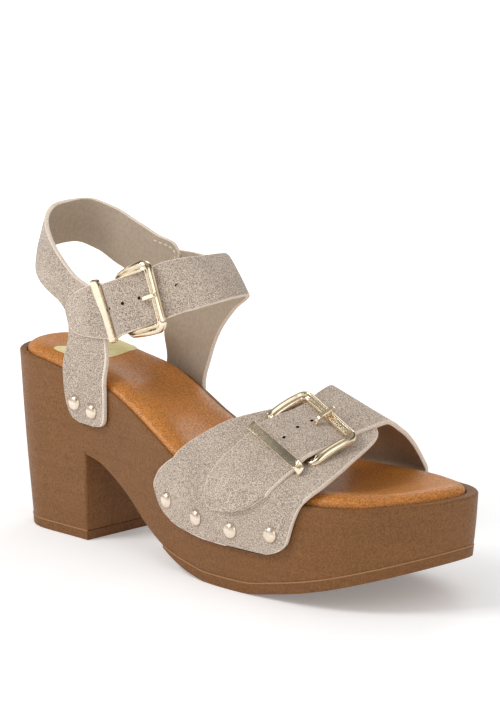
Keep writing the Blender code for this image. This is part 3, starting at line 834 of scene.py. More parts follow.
def flecked(tree, place, dark, light, scale, drift_scale, drift):
    """Flecks between two tones."""
    inputs = {"Vector": place, "Scale": scale, "Drift Scale": drift_scale, "Drift": drift}
    tones = {"Dark": (*dark, 1.0), "Light": (*light, 1.0)}
    return node(tree, "Group", {**inputs, **tones}, node_tree=fleck_group("Flecks")).outputs


def streaked(tree, place, tone):
    """A tone with faint streaks along the shoe."""
    along = node(tree, "Mapping", {"Vector": place, "Scale": (14.0, 60.0, 420.0)}).outputs["Vector"]
    streaks = node(tree, "TexNoise", {"Vector": along, "Scale": 1.0, "Detail": 3.0}).outputs["Fac"]
    span = {"From Min": 0.3, "From Max": 0.7, "To Min": 0.93, "To Max": 1.04}
    streak = node(tree, "MapRange", {"Value": streaks, **span}).outputs["Result"]
    return node(tree, "VectorMath", {0: tone, "Scale": streak}, operation="SCALE").outputs["Vector"]


def new_finish(name, roughness, **sockets):
    """A material with its shader's plain values set, and the object's own coordinates."""
    material = bpy.data.materials.new(name)
    material.use_nodes = True
    tree = material.node_tree
    shader = tree.nodes["Principled BSDF"].inputs
    shader["Roughness"].default_value = roughness
    for label, value in sockets.items():
        shader[label.replace("_", " ").title().replace("Ior", "IOR")].default_value = value
    place = tree.nodes.new("ShaderNodeTexCoord").outputs["Object"]
    return material, tree, shader, place


@once("materials")
def make_finish(
    name, dark, light, flecks, roughness, relief=None, grain=None, gloss=None, streaks=False, **sockets
):
    """A flecked finish.

    Flecks give a scale, the scale of a slow drift and its strength. Relief gives a bump's strength and its
    depth in millimetres, and gloss gives two roughnesses. Both follow the grain, or else the flecks.
    """
    material, tree, shader, place = new_finish(name, roughness, **sockets)
    fleck = flecked(tree, place, dark, light, *flecks)
    tone = streaked(tree, place, fleck["Color"]) if streaks else fleck["Color"]
    tree.links.new(tone, shader["Base Color"])
    height = mask = fleck["Height"]
    if grain:
        group = pebble_group("Pebble Grain")
        pebbles = node(tree, "Group", {"Vector": place, "Scale": grain}, node_tree=group)
        height, mask = pebbles.outputs["Height"], pebbles.outputs["Pits"]
    if relief:
        strength, depth = relief
        made = node(tree, "Bump", {"Height": height, "Strength": strength, "Distance": depth * MM})
        tree.links.new(made.outputs["Normal"], shader["Normal"])
    if gloss:
        made = node(tree, "MapRange", {"Value": mask, "To Min": gloss[0], "To Max": gloss[1]})
        tree.links.new(made.outputs["Result"], shader["Roughness"])
    return material


def suede_finish(colours):
    """Greige suede: a short nap of light and dark flecks."""
    tones = colours.suede_dark, colours.suede_light
    look = {"flecks": (2350.0, 45.0, 0.4), "relief": (0.5, 0.25), "specular_ior_level": 0.15}
    return make_finish("suede_nap", *tones, roughness=0.92, sheen_weight=0.2, sheen_roughness=0.5, **look)


def plain_finish(name, tone, roughness, contrast):
    """A matt surface with a fine fleck: a cut edge with its painted highlight, a hole's wall painted dark as
    shade, the seam's bead painted pale as a highlight, or thread.
    """
    tones = shade(tone, 1 - contrast), shade(tone, 1 + contrast)
    look = {"flecks": (2200.0, 150.0, 0.3), "relief": (0.2, 0.15), "specular_ior_level": 0.25}
    return make_finish(name, *tones, roughness=roughness, **look)


def lining_finish(name, tone):
    """Smooth lining with a fine pore."""
    tones = shade(tone, 0.93), shade(tone, 1.07)
    look = {"flecks": (700.0, 35.0, 0.8), "relief": (0.06, 0.1), "grain": 1300.0}
    return make_finish(name, *tones, roughness=0.6, specular_ior_level=0.25, **look)


def moulded_finish(name, tone, roughness):
    """Moulded brown sole: pebbled skin, flecked, with faint streaks along the shoe."""
    tones = shade(tone, 0.79), shade(tone, 1.22)
    gloss = roughness - 0.06, roughness + 0.14
    look = {"flecks": (1250.0, 28.0, 0.6), "relief": (0.5, 0.26), "grain": 1100.0, "streaks": True}
    return make_finish(name, *tones, roughness=roughness, gloss=gloss, specular_ior_level=0.2, **look)


def footbed_finish(name, tone):
    """Tan padded leather with a light polish and a fine pebble."""
    tones = shade(tone, 0.62), shade(tone, 1.3)
    look = {"flecks": (1450.0, 32.0, 0.7), "relief": (0.35, 0.24), "grain": 900.0, "gloss": (0.38, 0.6)}
    polish = {"specular_ior_level": 0.32, "coat_weight": 0.13, "coat_roughness": 0.24}
    return make_finish(name, *tones, roughness=0.46, **look, **polish)


def metal_finish(name, tone, roughness, metallic=1.0):
    """Polished pale metal with faint handling marks."""
    tones = shade(tone, 0.92), shade(tone, 1.04)
    look = {"flecks": (420.0, 90.0, 0.4), "gloss": (roughness * 0.9, roughness * 1.15)}
    return make_finish(name, *tones, roughness=roughness, metallic=metallic, **look)


def polished_gold(colours):
    return metal_finish("polished_pale_gold", colours.gold, 0.16)


# Sole


class SANDAL_OT_sole(bpy.types.Operator):
    """Moulded platform with its block heel, arch, rounded rim and the recess for the footbed"""

    bl_idname = "sandal.sole"
    bl_label = "Moulded sole"

    # How an edge of the heel's front corners is told: it lies at the breast, rises and is close to a wall
    NEAR = 0.01
    UPRIGHT = 0.5
    CORNER_REACH = 2.0

    def execute(self, context):
        sizes, colours = sizes_and_colours(context)
        x, side = loop_stations()
        heel_columns = slice(0, 2 * HEEL_COUNT + 1)
        is_fore = np.arange(len(x)) > 2 * HEEL_COUNT
        arch_start = float(ground(BREAST_X))
        rounding = sizes.rim_round / MM
        seam = sizes.seam_round / MM * ease((x - BREAST_X) / SEAM_BLEND) * is_fore
        floor = outsole_top(x) + GAP * ease((x - OUTSOLE_START) / OUTSOLE_BLEND)
        floor = np.where(is_fore, floor, arch_start)

        recess = pad_loop(GAP)
        recess_rim = rim(recess[:, 0])
        edge = np.stack([x, wall(x, side)], -1)
        outward = plan_normals(edge)
        rows = [heights(recess, recess_rim - RECESS), heights(recess, recess_rim - RECESS_LIP)]
        lip = heights(recess + plan_normals(recess) * RECESS_LIP, recess_rim)
        shoulder = heights(edge - outward * rounding, rim(x))
        rows += [lip + (shoulder - lip) * share for share in (0.0, 0.35, 0.7, 1.0)]
        for turn in quarter(4)[1:-1]:
            inset = rounding * (1 - math.sin(turn))
            rows.append(heights(edge - outward * inset, rim(x) - rounding * (1 - math.cos(turn))))
        for share in np.linspace(0, 1, 20):
            rows.append(on_wall(x, side, rim(x) - rounding + (floor + seam - rim(x) + rounding) * share))
        low = on_wall(x, side, floor)
        for turn in quarter(3)[1:]:
            drawn = low[:, :2] - outward * (seam * (1 - math.cos(turn)))[:, None]
            rows.append(heights(drawn, floor + seam * (1 - math.sin(turn))))

        columns = pairs()
        heel_pairs = [c[: HEEL_COUNT + 1] for c in columns]
        fore_pairs = [c[HEEL_COUNT:] for c in columns]
        heel_floor = HEEL_PIECE + GAP
        heel_rows = []
        for share in np.linspace(0, 1, 16):
            level = arch_start + (heel_floor - arch_start) * share
            heel_rows.append(on_wall(x[heel_columns], side[heel_columns], level))
        breast = [strip(row, ([0], [-1]))[0] for row in heel_rows]
        sheets = [
            np.array(rows),
            strip(rows[0], columns),
            strip(rows[-1], fore_pairs),
            np.array(heel_rows),
            strip(heel_rows[-1], heel_pairs),
            np.array(breast),
        ]
        piece = closed_piece("sole_body", sheets)
        walls = [float(wall(BREAST_X, s)) for s in (-1, 1)]

        def on_breast_corner(a, b):
            at_breast = max(abs(a.x - BREAST_X), abs(b.x - BREAST_X)) < self.NEAR
            upright = abs(a.z - b.z) > self.UPRIGHT and max(a.z, b.z) < arch_start + self.NEAR
            return at_breast and upright and min(abs(a.y - w) for w in walls) < self.CORNER_REACH

        bevel_edges(piece, on_breast_corner, sizes.breast_round)
        brown = moulded_finish("moulded_brown_sole", colours.sole_brown, 0.5)
        hand_over(piece, [brown], "moulded_sole", "platform_sole")
        return {"FINISHED"}


class SANDAL_OT_outsole(bpy.types.Operator):
    """Rubber outsole under the forefoot, and the heel's top piece"""

    bl_idname = "sandal.outsole"
    bl_label = "Outsole and heel piece"

    # Height above the edge's top as a share of its rounding, and stand-out as a share of the full one
    UPPER_EDGE = ((0.0, -0.6), (0.0, 0.7), (-0.15, 1.0))

    def execute(self, context):
        sizes, colours = sizes_and_colours(context)
        rubber = moulded_finish("rubber_brown_outsole", colours.outsole_brown, 0.58)
        count = OUTSOLE_COUNT + 1
        fore = OUTSOLE_START + (TOE_X - OUTSOLE_START) * np.sin(quarter(OUTSOLE_COUNT))
        toe_x = np.concatenate([fore, fore[::-1][1:]])
        toe_side = np.repeat([1.0, -1.0], [count, count - 1])
        toe_columns = 2 * OUTSOLE_COUNT - np.arange(count), np.arange(count)
        heel_x, heel_side = (values[: 2 * HEEL_COUNT + 1] for values in loop_stations())
        heel_columns = [c[: HEEL_COUNT + 1] for c in pairs()]
        flat = np.zeros_like(heel_x)
        parts = (
            ("forefoot", toe_x, toe_side, toe_columns, 0, outsole_top(toe_x), ground(toe_x)),
            ("heel", heel_x, heel_side, heel_columns, -1, flat + HEEL_PIECE, flat),
        )
        solids = {"forefoot": "forefoot_outsole", "heel": "heel_top_piece"}
        beads = {"forefoot": "outsole_seam", "heel": "heel_seam"}
        for name, x, side, columns, open_end, top, low in parts:
            rows = self.rounded_rows(x, side, top, low, np.minimum(sizes.seam_round / MM, (top - low) / 3))
            end_face = np.array([strip(row, columns)[open_end] for row in rows])
            sheets = [np.array(rows), strip(rows[0], columns), strip(rows[-1], columns), end_face]
            piece = closed_piece(f"outsole_{name}", sheets)
            hand_over(piece, [rubber], "rubber_outsole", solids[name])
            self.bead(beads[name], on_wall(x, side, top + GAP / 2), colours)
        return {"FINISHED"}

    @staticmethod
    def outward_of(points):
        """Outward normals of a line that runs clockwise round the shoe, seen from above."""
        along = np.gradient(points[:, :2], axis=0)
        return np.stack([-along[:, 1], along[:, 0]], -1) / np.linalg.norm(along, axis=1)[:, None]

    def bead(self, name, line, colours):
        """A fine bead that fills the seam between the sole and its outsole, in a pale tone that is a painted
        highlight along the seam.
        """
        outward = self.outward_of(line)
        rows = []
        for turn in np.linspace(0, 2 * math.pi, 9):
            row = line + np.array((0, 0, BEAD * math.sin(turn)))
            row[:, :2] += outward * (BEAD * math.cos(turn))
            rows.append(row)
        piece = weld(sheet_of(name, np.array(rows)))
        with editing(piece, "DESELECT"):
            bpy.ops.mesh.select_mode(type="EDGE")
            bpy.ops.mesh.select_non_manifold()
            bpy.ops.mesh.edge_face_add()
            bpy.ops.mesh.select_all(action="SELECT")
            bpy.ops.mesh.normals_make_consistent(inside=False)
        hand_over(piece, [plain_finish("pale_seam", colours.seam, 0.6, 0.15)], "rubber_outsole", smooth=60)

    def rounded_rows(self, x, side, top, low, seam):
        """Rows down a wall that stands a little proud of the sole, with its lower edge rounded."""
        outward = self.outward_of(on_wall(x, side, top))
        levels = [(top + seam * up, share) for up, share in self.UPPER_EDGE]
        levels += [(top + (low + seam - top) * share, 1.0) for share in (0.35, 0.7, 1.0)]
        levels = [(z, np.full_like(x, PROUD * share)) for z, share in levels]
        for turn in quarter(3)[1:]:
            levels.append((low + seam * (1 - math.sin(turn)), PROUD - seam * (1 - math.cos(turn))))
        rows = []
        for z, out in levels:
            row = on_wall(x, side, z)
            row[:, :2] += outward * out[:, None]
            rows.append(row)
        return rows


class SANDAL_OT_footbed(bpy.types.Operator):
    """Padded leather footbed with a rolled edge, and the plain foil patch on its heel"""

    bl_idname = "sandal.footbed"
    bl_label = "Footbed"

    # Inset and height over the rim of the footbed's side, from its foot up to its roll
    SIDE = ((0.8, GAP - RECESS), (0.1, -0.9))

    def execute(self, context):
        sizes, colours = sizes_and_colours(context)
        rise = sizes.pad_rise / MM
        _, side = loop_stations()
        edge = pad_loop()
        outward = plan_normals(edge)

        def creased(points):
            dip = np.zeros(len(points))
            for x, depth, width in zip(*PAD_CREASES.values()):
                dip += depth * np.exp(-(((points[:, 0] - x) / width) ** 2))
            return dip * (side < 0)

        rows = [heights(edge - outward * inset, rim(edge[:, 0]) + up) for inset, up in self.SIDE]
        for inset in PAD_INSETS:
            spot = edge - outward * inset
            share = inset / PAD_ROLL
            roll = (1 - (1 - share) ** PAD_ROLL_POWER) ** 0.5
            crumple = creased(spot) * math.sin(math.pi * min(share + CREASE_START, 1.0))
            rise_here = (rise + PAD_ROLL_FOOT) * roll - PAD_ROLL_FOOT
            rows.append(heights(spot, rim(spot[:, 0]) + rise_here - crumple))
        columns = pairs()
        top = strip(rows[-1], columns, PAD_POINTS)
        inner = pad_top(top[..., 0], top[..., 1], sizes)
        top[:, 1:-1, 2] = inner[:, 1:-1]
        piece = closed_piece("footbed_pad", [np.array(rows), strip(rows[0], columns, PAD_POINTS), top])
        tan = footbed_finish("tan_footbed_leather", colours.footbed_tan)
        hand_over(piece, [tan], "footbed_leather", "footbed", smooth=60)
        self.patch(sizes, colours)
        return {"FINISHED"}

    @staticmethod
    def patch(sizes, colours):
        """A thin plain patch with rounded corners, laid on the footbed."""
        across = np.linspace(-1, 1, 40)
        x = np.linspace(*PATCH_X, 30)
        from_end = np.minimum(x - PATCH_X[0], PATCH_X[1] - x)
        inside = np.maximum(PATCH_CORNER - from_end, 0)
        pulled = PATCH_CORNER - np.sqrt(np.maximum(PATCH_CORNER**2 - inside**2, 0))
        middle, half = sum(PATCH_Y) / 2, (PATCH_Y[1] - PATCH_Y[0]) / 2
        y = middle + across[None, :] * (half - pulled)[:, None]
        x = np.repeat(x[:, None], len(across), 1)
        points = np.stack([x, y, pad_top(x, y, sizes) + PATCH_ABOVE], -1)
        piece = sheet_of("foil_patch", points[::-1, ::-1])
        add_modifier(piece, "SOLIDIFY", thickness=PATCH_THICKNESS * MM, offset=0.0)
        hand_over(piece, [metal_finish("gold_foil", colours.foil, 0.34, 0.35)], "pale_gold")


# Leather

# Slots of a leather piece's finishes
OUTSIDE, INSIDE, EDGE, HOLE = range(4)
CUTTER_LENGTH = 14.0


def leather_piece(name, points, lining, sizes, colours):
    """A strap or panel: suede outside, lining inside, and a pale cut edge that is partly the raw leather's
    tone and partly a painted highlight.
    """
    piece = sheet_of(name, points)
    add_modifier(piece, "SOLIDIFY", thickness=sizes.leather, offset=0.0, use_even_offset=True)
    finishes = (
        suede_finish(colours),
        lining,
        # Pale edge finish: the raw edge's tone, raised to a painted highlight along the edges.
        plain_finish("cut_leather_edge", colours.raw_edge_and_highlight, 0.85, 0.18),
        # Near-black hole finish: painted shade inside each hole.
        plain_finish("punched_hole", colours.hole, 0.9, 0.4),
    )
    for finish in finishes:
        piece.data.materials.append(finish)
    for polygon, slot in zip(piece.data.polygons, face_slots(piece, points)):
        polygon.material_index = slot
    round_edges(piece, sizes.leather_edge, material=EDGE)
    return piece


def face_slots(piece, points):
    """Slot of each face of a thickened sheet, where the line beside a cut edge takes the cut edge's slot and
    its pale colour as a painted highlight.
    """
    outer = np.full((points.shape[0] - 1, points.shape[1] - 1), OUTSIDE)
    outer[[0, -1]] = EDGE
    outer[:, [0, -1]] = EDGE
    rest = len(piece.data.polygons) - 2 * outer.size
    return [*outer.ravel().tolist(), *[INSIDE] * outer.size, *[EDGE] * rest]


def punch(piece, form, places, steps, radius):
    """Cuts round holes through a piece, along its form's normals."""
    cutters = []
    for place in places:
        a, b = map(np.asarray, place)
        deselect()
        bpy.ops.mesh.primitive_cylinder_add(vertices=20, radius=radius, depth=CUTTER_LENGTH * MM)
        cutter = bpy.context.object
        turn = Vector(normal_of(form, a, b, steps)).to_track_quat("Z", "Y").to_matrix().to_4x4()
        cutter.data.transform(Matrix.Translation(Vector(form(a, b)) * MM) @ turn)
        cutters.append(cutter)
    cutter = join(cutters)
    for finish in piece.data.materials:
        cutter.data.materials.append(finish)
    # The cut walls take the near-black hole finish: painted shade inside each hole.
    for polygon in cutter.data.polygons:
        polygon.material_index = HOLE
    add_modifier(piece, "BOOLEAN", operation="DIFFERENCE", object=cutter, solver="MANIFOLD")
    bpy.data.objects.remove(cutter, do_unlink=True)


def leather_set(context, form, steps, lining, solid, pieces):
    """Cuts out the leather pieces that share a form, a lining and a solid."""
    sizes, colours = sizes_and_colours(context)
    for name, edges, rows, columns, holes in pieces:
        piece = leather_piece(name, band(form, edges, steps, rows, columns), lining, sizes, colours)
        if holes:
            punch(piece, form, holes, steps, sizes.hole)
        hand_over(piece, (), "suede", solid)


class SANDAL_OT_vamp(bpy.types.Operator):
    """Lateral panel and buckled strap over the forefoot"""

    bl_idname = "sandal.vamp"
    bl_label = "Vamp leather"

    def execute(self, context):
        # The vamp's lining tone carries painted shade and a painted orange bounce from the footbed.
        lining = lining_finish("brown_vamp_lining", context.scene.sandal_finishes.vamp_lining)
        pieces = (("vamp_panel", PANEL, 110, 90, ()), ("vamp_strap", STRAP, 220, 36, VAMP_HOLES))
        leather_set(context, vamp, VAMP_STEPS, lining, "vamp_upper", pieces)
        return {"FINISHED"}


class SANDAL_OT_ankle(bpy.types.Operator):
    """Heel band and buckled front strap round the ankle"""

    bl_idname = "sandal.ankle"
    bl_label = "Ankle leather"

    def execute(self, context):
        lining = lining_finish("taupe_ankle_lining", context.scene.sandal_finishes.lining)
        pieces = (("heel_band", HEEL_BAND, 200, 30, ()), ("front_strap", FRONT_STRAP, 260, 30, ANKLE_HOLES))
        leather_set(context, ankle, ANKLE_STEPS, lining, "ankle_upper", pieces)
        return {"FINISHED"}


# Hardware


def seat(form, ends, steps):
    """A frame between two places on a form: X runs from one to the other, Z points out of the form."""
    start, end = (lifted(form, *place, steps) for place in ends)
    middle = [(p + q) / 2 for p, q in zip(*ends)][:2]
    normal = Vector(normal_of(form, np.asarray(middle[0]), np.asarray(middle[1]), steps))
    along = Vector(end - start).normalized()
    across = normal.cross(along).normalized()
    place = Matrix((along, across, along.cross(across))).transposed().to_4x4()
    place.translation = Vector((start + end) / 2)
    return place, (Vector(end) - Vector(start)).length


def put(place, points):
    """Points given in a seat's own frame, moved to their place on the shoe."""
    turn = np.array(place.to_3x3())
    return points @ turn.T + np.array(place.translation)


def frame_path(length, width, radius, corner_steps=8, side_steps=14):
    """Inner line of a rounded frame and its outward normals, corner by corner."""
    turns = np.concatenate([quarter(corner_steps) + corner * math.pi / 2 for corner in range(4)])
    normals = np.stack([np.cos(turns), np.sin(turns)], -1)
    signs = np.repeat(((1, 1), (-1, 1), (-1, -1), (1, -1)), corner_steps + 1, 0)
    points = signs * (np.array((length, width)) / 2 - radius) + radius * normals
    full, out = [], []
    for point, following, normal in zip(points, np.roll(points, -1, 0), normals):
        steps = side_steps if np.linalg.norm(following - point) > radius else 1
        for step in range(steps):
            full.append(point + (following - point) * step / steps)
            out.append(normal)
    return np.array(full + full[:1]), np.array(out + out[:1])


class SANDAL_OT_buckles(bpy.types.Operator):
    """Ridged buckle frames with their prongs"""

    bl_idname = "sandal.buckles"
    bl_label = "Buckles"

    # Cross-section of a bar, out from its inner edge and up from its middle: a bead, a groove and a ridge
    SECTION = (
        (0.0, -1.0), (0.0, 0.15), (0.06, 0.42), (0.18, 0.62), (0.28, 0.62), (0.38, 0.36), (0.43, 0.36),
        (0.6, 0.92), (0.68, 1.0), (0.78, 0.92), (0.93, 0.5), (1.0, 0.2), (1.0, -0.6), (0.88, -1.0),
        (0.0, -1.0),
    )
    # Prong from its tip to its end, by distance from the outer edge of its bar and height over that bar
    PRONG = ((-9.2, -2.8), (-8.0, -1.2), (-6.6, -0.35), (-4.4, 0.0), (-1.2, 0.0), (0.2, -0.15), (0.9, -0.6))
    PRONG_CLEAR = 0.75
    PRONG_THICKNESS = 1.2
    PRONG_ROUND = 0.3
    BAR_ROUND = 0.1
    CORNER = 1.5
    # Breadths of the sides at the hidden bar and at the prong's bar, and of the prong's bar, as shares of a
    # plain bar's, and the share that the sides give up on the outside towards the hidden bar
    VAMP_SHARES = (1.45, 1.3, 1.3, 0.0)
    ANKLE_SHARES = (0.9, 1.45, 1.2, 0.55)

    def execute(self, context):
        sizes, colours = sizes_and_colours(context)
        gold = polished_gold(colours)
        rows = (
            ("vamp", vamp, VAMP_BUCKLE, VAMP_STEPS, VAMP_BUCKLE_WIDTH, self.VAMP_SHARES),
            ("ankle", ankle, ANKLE_BUCKLE, ANKLE_STEPS, ANKLE_BUCKLE_WIDTH, self.ANKLE_SHARES),
        )
        for name, form, ends, steps, width, shares in rows:
            place, reach = seat(form, ends, steps)
            self.bar_frame(name, place, reach, width, shares, sizes, gold)
            self.prong(name, place, reach, sizes, gold)
        return {"FINISHED"}

    def bar_frame(self, name, place, reach, width, shares, sizes, gold):
        """A closed bar that broadens inwards along its sides and at the prong's bar."""
        bar, half_height = sizes.bar_width / MM, sizes.bar_height / MM / 2
        path, out = frame_path(reach - bar, width, self.CORNER)
        along = 2 * path[:, 0] / (reach - bar)
        from_tip = ((1 - along) / 2).clip(0) ** 2
        on_side, on_tip = np.abs(out[:, 1]), out[:, 0].clip(0)
        hidden, tip, prong_bar, taper = shares
        broad = 1 + (tip + (hidden - tip) * from_tip - 1) * on_side + (prong_bar - 1) * on_tip
        outer = bar * (1 - taper * from_tip * on_side)
        half_height = half_height * (1 - HIDDEN_BAR * (-out[:, 0]).clip(0))
        rise = sizes.bow / MM * (1 - along**2).clip(0)
        points = []
        for across, up in self.SECTION:
            spot = path + out * (outer - (1 - across) * bar * broad)[:, None]
            points.append(np.stack([spot[:, 0], spot[:, 1], up * half_height + rise], -1))
        piece = closed_piece(f"{name}_frame", [put(place, np.array(points))])
        round_edges(piece, self.BAR_ROUND * MM, 30)
        hand_over(piece, [gold], "pale_gold", f"{name}_buckle_frame", smooth=40)

    def prong(self, name, place, reach, sizes, gold):
        bar_end = reach / 2 + sizes.bar_width / MM / 2
        over = sizes.bar_height / MM / 2 + self.PRONG_CLEAR
        half = sizes.prong / MM / 2
        across = np.linspace(-half, half, 4)
        points = np.array([[(bar_end + x, y, over + z) for y in across] for x, z in self.PRONG])
        piece = sheet_of(f"{name}_prong", put(place, points))
        thickness = self.PRONG_THICKNESS * MM
        add_modifier(piece, "SOLIDIFY", thickness=thickness, offset=0.0, use_even_offset=True)
        add_modifier(piece, "SUBSURF", subdivision_type="SIMPLE", levels=1, render_levels=1)
        round_edges(piece, self.PRONG_ROUND * MM, 50, 3)
        hand_over(piece, [gold], "pale_gold", f"{name}_buckle_prong", smooth=40)


class SANDAL_OT_keepers(bpy.types.Operator):
    """Flat metal keepers, bent down at both sides over the strap ends"""

    bl_idname = "sandal.keepers"
    bl_label = "Keepers"

    def execute(self, context):
        sizes, colours = sizes_and_colours(context)
        gold = polished_gold(colours)
        rows = (
            ("vamp", vamp, STRAP, VAMP_STEPS, VAMP_KEEPER_ROWS, VAMP_KEEPER_LEGS),
            ("ankle", ankle, FRONT_STRAP, ANKLE_STEPS, ANKLE_KEEPER_ROWS, ANKLE_KEEPER_LEGS),
        )
        for name, form, edges, steps, spans, legs in rows:
            piece = sheet_of(f"{name}_keeper_loop", self.loop(form, edges, steps, spans, legs, sizes))
            add_modifier(piece, "SOLIDIFY", thickness=sizes.keeper, offset=0.0, use_even_offset=True)
            round_edges(piece, KEEPER_ROUND * MM, 50, 3)
            hand_over(piece, [gold], "pale_gold", f"{name}_keeper", smooth=40)
        return {"FINISHED"}

    @staticmethod
    def loop(form, edges, steps, spans, legs, sizes):
        """A sheet just over the strap, whose legs turn down past both of its edges and splay a little."""
        low, high = (
            [(splay, drop), ((splay + KEEPER_LEG_START) / 2, drop / 2), *KEEPER_BEND] for splay, drop in legs
        )
        across = [(-past, -drop) for past, drop in low]
        across += [(share, 0.0) for share in np.linspace(0.02, 0.98, 14)]
        across += [(1 + past, -drop) for past, drop in reversed(high)]
        above = (sizes.leather + sizes.keeper) / 2 / MM + GAP
        columns = []
        for share, drop in across:
            start, end = follow(spans, "start", share), follow(spans, "end", share)
            a, b, lift = edge_places(edges, np.linspace(start, end, 6), np.array([share]))
            columns.append(lifted(form, a, b, lift + above + drop, steps))
        return np.concatenate(columns, 1)


class SANDAL_OT_studs(bpy.types.Operator):
    """Domed studs that fasten the leather to the sole's walls"""

    bl_idname = "sandal.studs"
    bl_label = "Studs"

    # Radius and height of the head, as shares, from its foot to its crown
    PROFILE = ((1.0, 0.06), (1.03, 0.14), (0.98, 0.3), (0.88, 0.55), (0.72, 0.77), (0.5, 0.91), (0.25, 0.98))

    def execute(self, context):
        sizes, colours = sizes_and_colours(context)
        gold = metal_finish("satin_stud_gold", colours.stud, 0.3)
        for name, column, places in STUDS:
            side = -1 if column == "lateral" else 1
            for count, (x, z) in enumerate(places, 1):
                slope = float(wall(x + 1, side) - wall(x - 1, side)) / 2
                out = Vector((-side * slope, side, 0)).normalized()
                skin = sizes.leather / MM / 2
                foot = Vector((x, float(wall(x, side)) + side * WALL_OFFSET, z)) + out * skin
                solid = f"{name}_{count}"
                piece = self.stud(solid.replace("stud", "rivet"), foot, out, sizes)
                hand_over(piece, [gold], "pale_gold", solid, smooth=60)
        return {"FINISHED"}

    def stud(self, name, foot, out, sizes):
        """A disc drawn up ring by ring into a dome."""
        radius, height = sizes.stud_radius, sizes.stud_height
        deselect()
        bpy.ops.mesh.primitive_circle_add(vertices=32, radius=radius, fill_type="NGON")
        piece = bpy.context.object
        piece.name = piece.data.name = name
        with editing(piece):
            last_radius, last_height = 1.0, 0.0
            for wide, high in self.PROFILE:
                lift = (0, 0, (high - last_height) * height)
                bpy.ops.mesh.extrude_region_move(TRANSFORM_OT_translate={"value": lift})
                bpy.ops.transform.resize(value=(wide / last_radius, wide / last_radius, 1))
                last_radius, last_height = wide, high
            bpy.ops.mesh.poke()
        crown = max(piece.data.vertices, key=lambda v: (-(v.co.x**2 + v.co.y**2), v.co.z))
        crown.co.z = height
        turn = out.to_track_quat("Z", "Y").to_matrix().to_4x4()
        piece.data.transform(Matrix.Translation(foot * MM) @ turn)
        return weld(piece)


class SANDAL_OT_stitching(bpy.types.Operator):
    """Stitches round the heel band's end, inside and outside the front strap"""

    bl_idname = "sandal.stitching"
    bl_label = "Stitching"

    # Rows of the heel band that the seam covers, and its margin as a share of the band's width
    ROWS = (14.9, 16.6)
    MARGIN = 0.13
    # Distance from stitch to stitch, as a share of a stitch, and a stitch's two half breadths
    PITCH = 1.4
    HALF_BREADTHS = (0.42, 0.32)

    def execute(self, context):
        sizes, colours = sizes_and_colours(context)
        half = sizes.leather / MM / 2
        for name, lift in (("stitches_inside", -LAP - half), ("stitches_outside", half)):
            piece = join(self.row_of_stitches(*self.seam_line(), lift, sizes))
            piece.name = piece.data.name = name
            hand_over(piece, [plain_finish("sewing_thread", colours.thread, 0.7, 0.2)], "suede", smooth=60)
        return {"FINISHED"}

    def seam_line(self):
        """Places along the seam: in from the heel band's edges by a small margin, round its end."""
        rows = np.linspace(*self.ROWS, 40)
        shares = np.linspace(self.MARGIN, 1 - self.MARGIN, 20)
        low = edge_places(HEEL_BAND, rows, shares[:1])
        end = edge_places(HEEL_BAND, rows[-1:], shares[1:-1])
        high = edge_places(HEEL_BAND, rows[::-1], shares[-1:])
        return [np.concatenate([part[k].ravel() for part in (low, end, high)]) for k in (0, 1)]

    def row_of_stitches(self, a, b, lift, sizes):
        """Flattened beads laid end to end along the seam, each turned to the form under it."""
        places = lifted(ankle, a, b, np.full_like(a, lift), ANKLE_STEPS)
        normals = normal_of(ankle, a, b, ANKLE_STEPS)
        length = sizes.stitch / MM
        gone = np.concatenate([[0], np.cumsum(np.linalg.norm(np.diff(places, axis=0), axis=1))])

        def at(distance, values):
            return np.array([np.interp(distance, gone, values[:, k]) for k in range(3)])

        made = []
        for start in np.arange(0, gone[-1] - length, length * self.PITCH):
            ends = at(start, places), at(start + length, places)
            along = Vector(ends[1] - ends[0]).normalized()
            over = Vector(at(start + length / 2, normals)).cross(along).normalized()
            turn = Matrix((along, over, along.cross(over))).transposed().to_4x4()
            turn.translation = Vector(ends[0] + ends[1]) / 2 * MM
            deselect()
            bpy.ops.mesh.primitive_uv_sphere_add(segments=8, ring_count=6, radius=1)
            stitch = bpy.context.object
            shape = Matrix.Diagonal((length / 2 * MM, *(half * MM for half in self.HALF_BREADTHS), 1))
            stitch.data.transform(turn @ shape)
            made.append(stitch)
        return made


# Stage


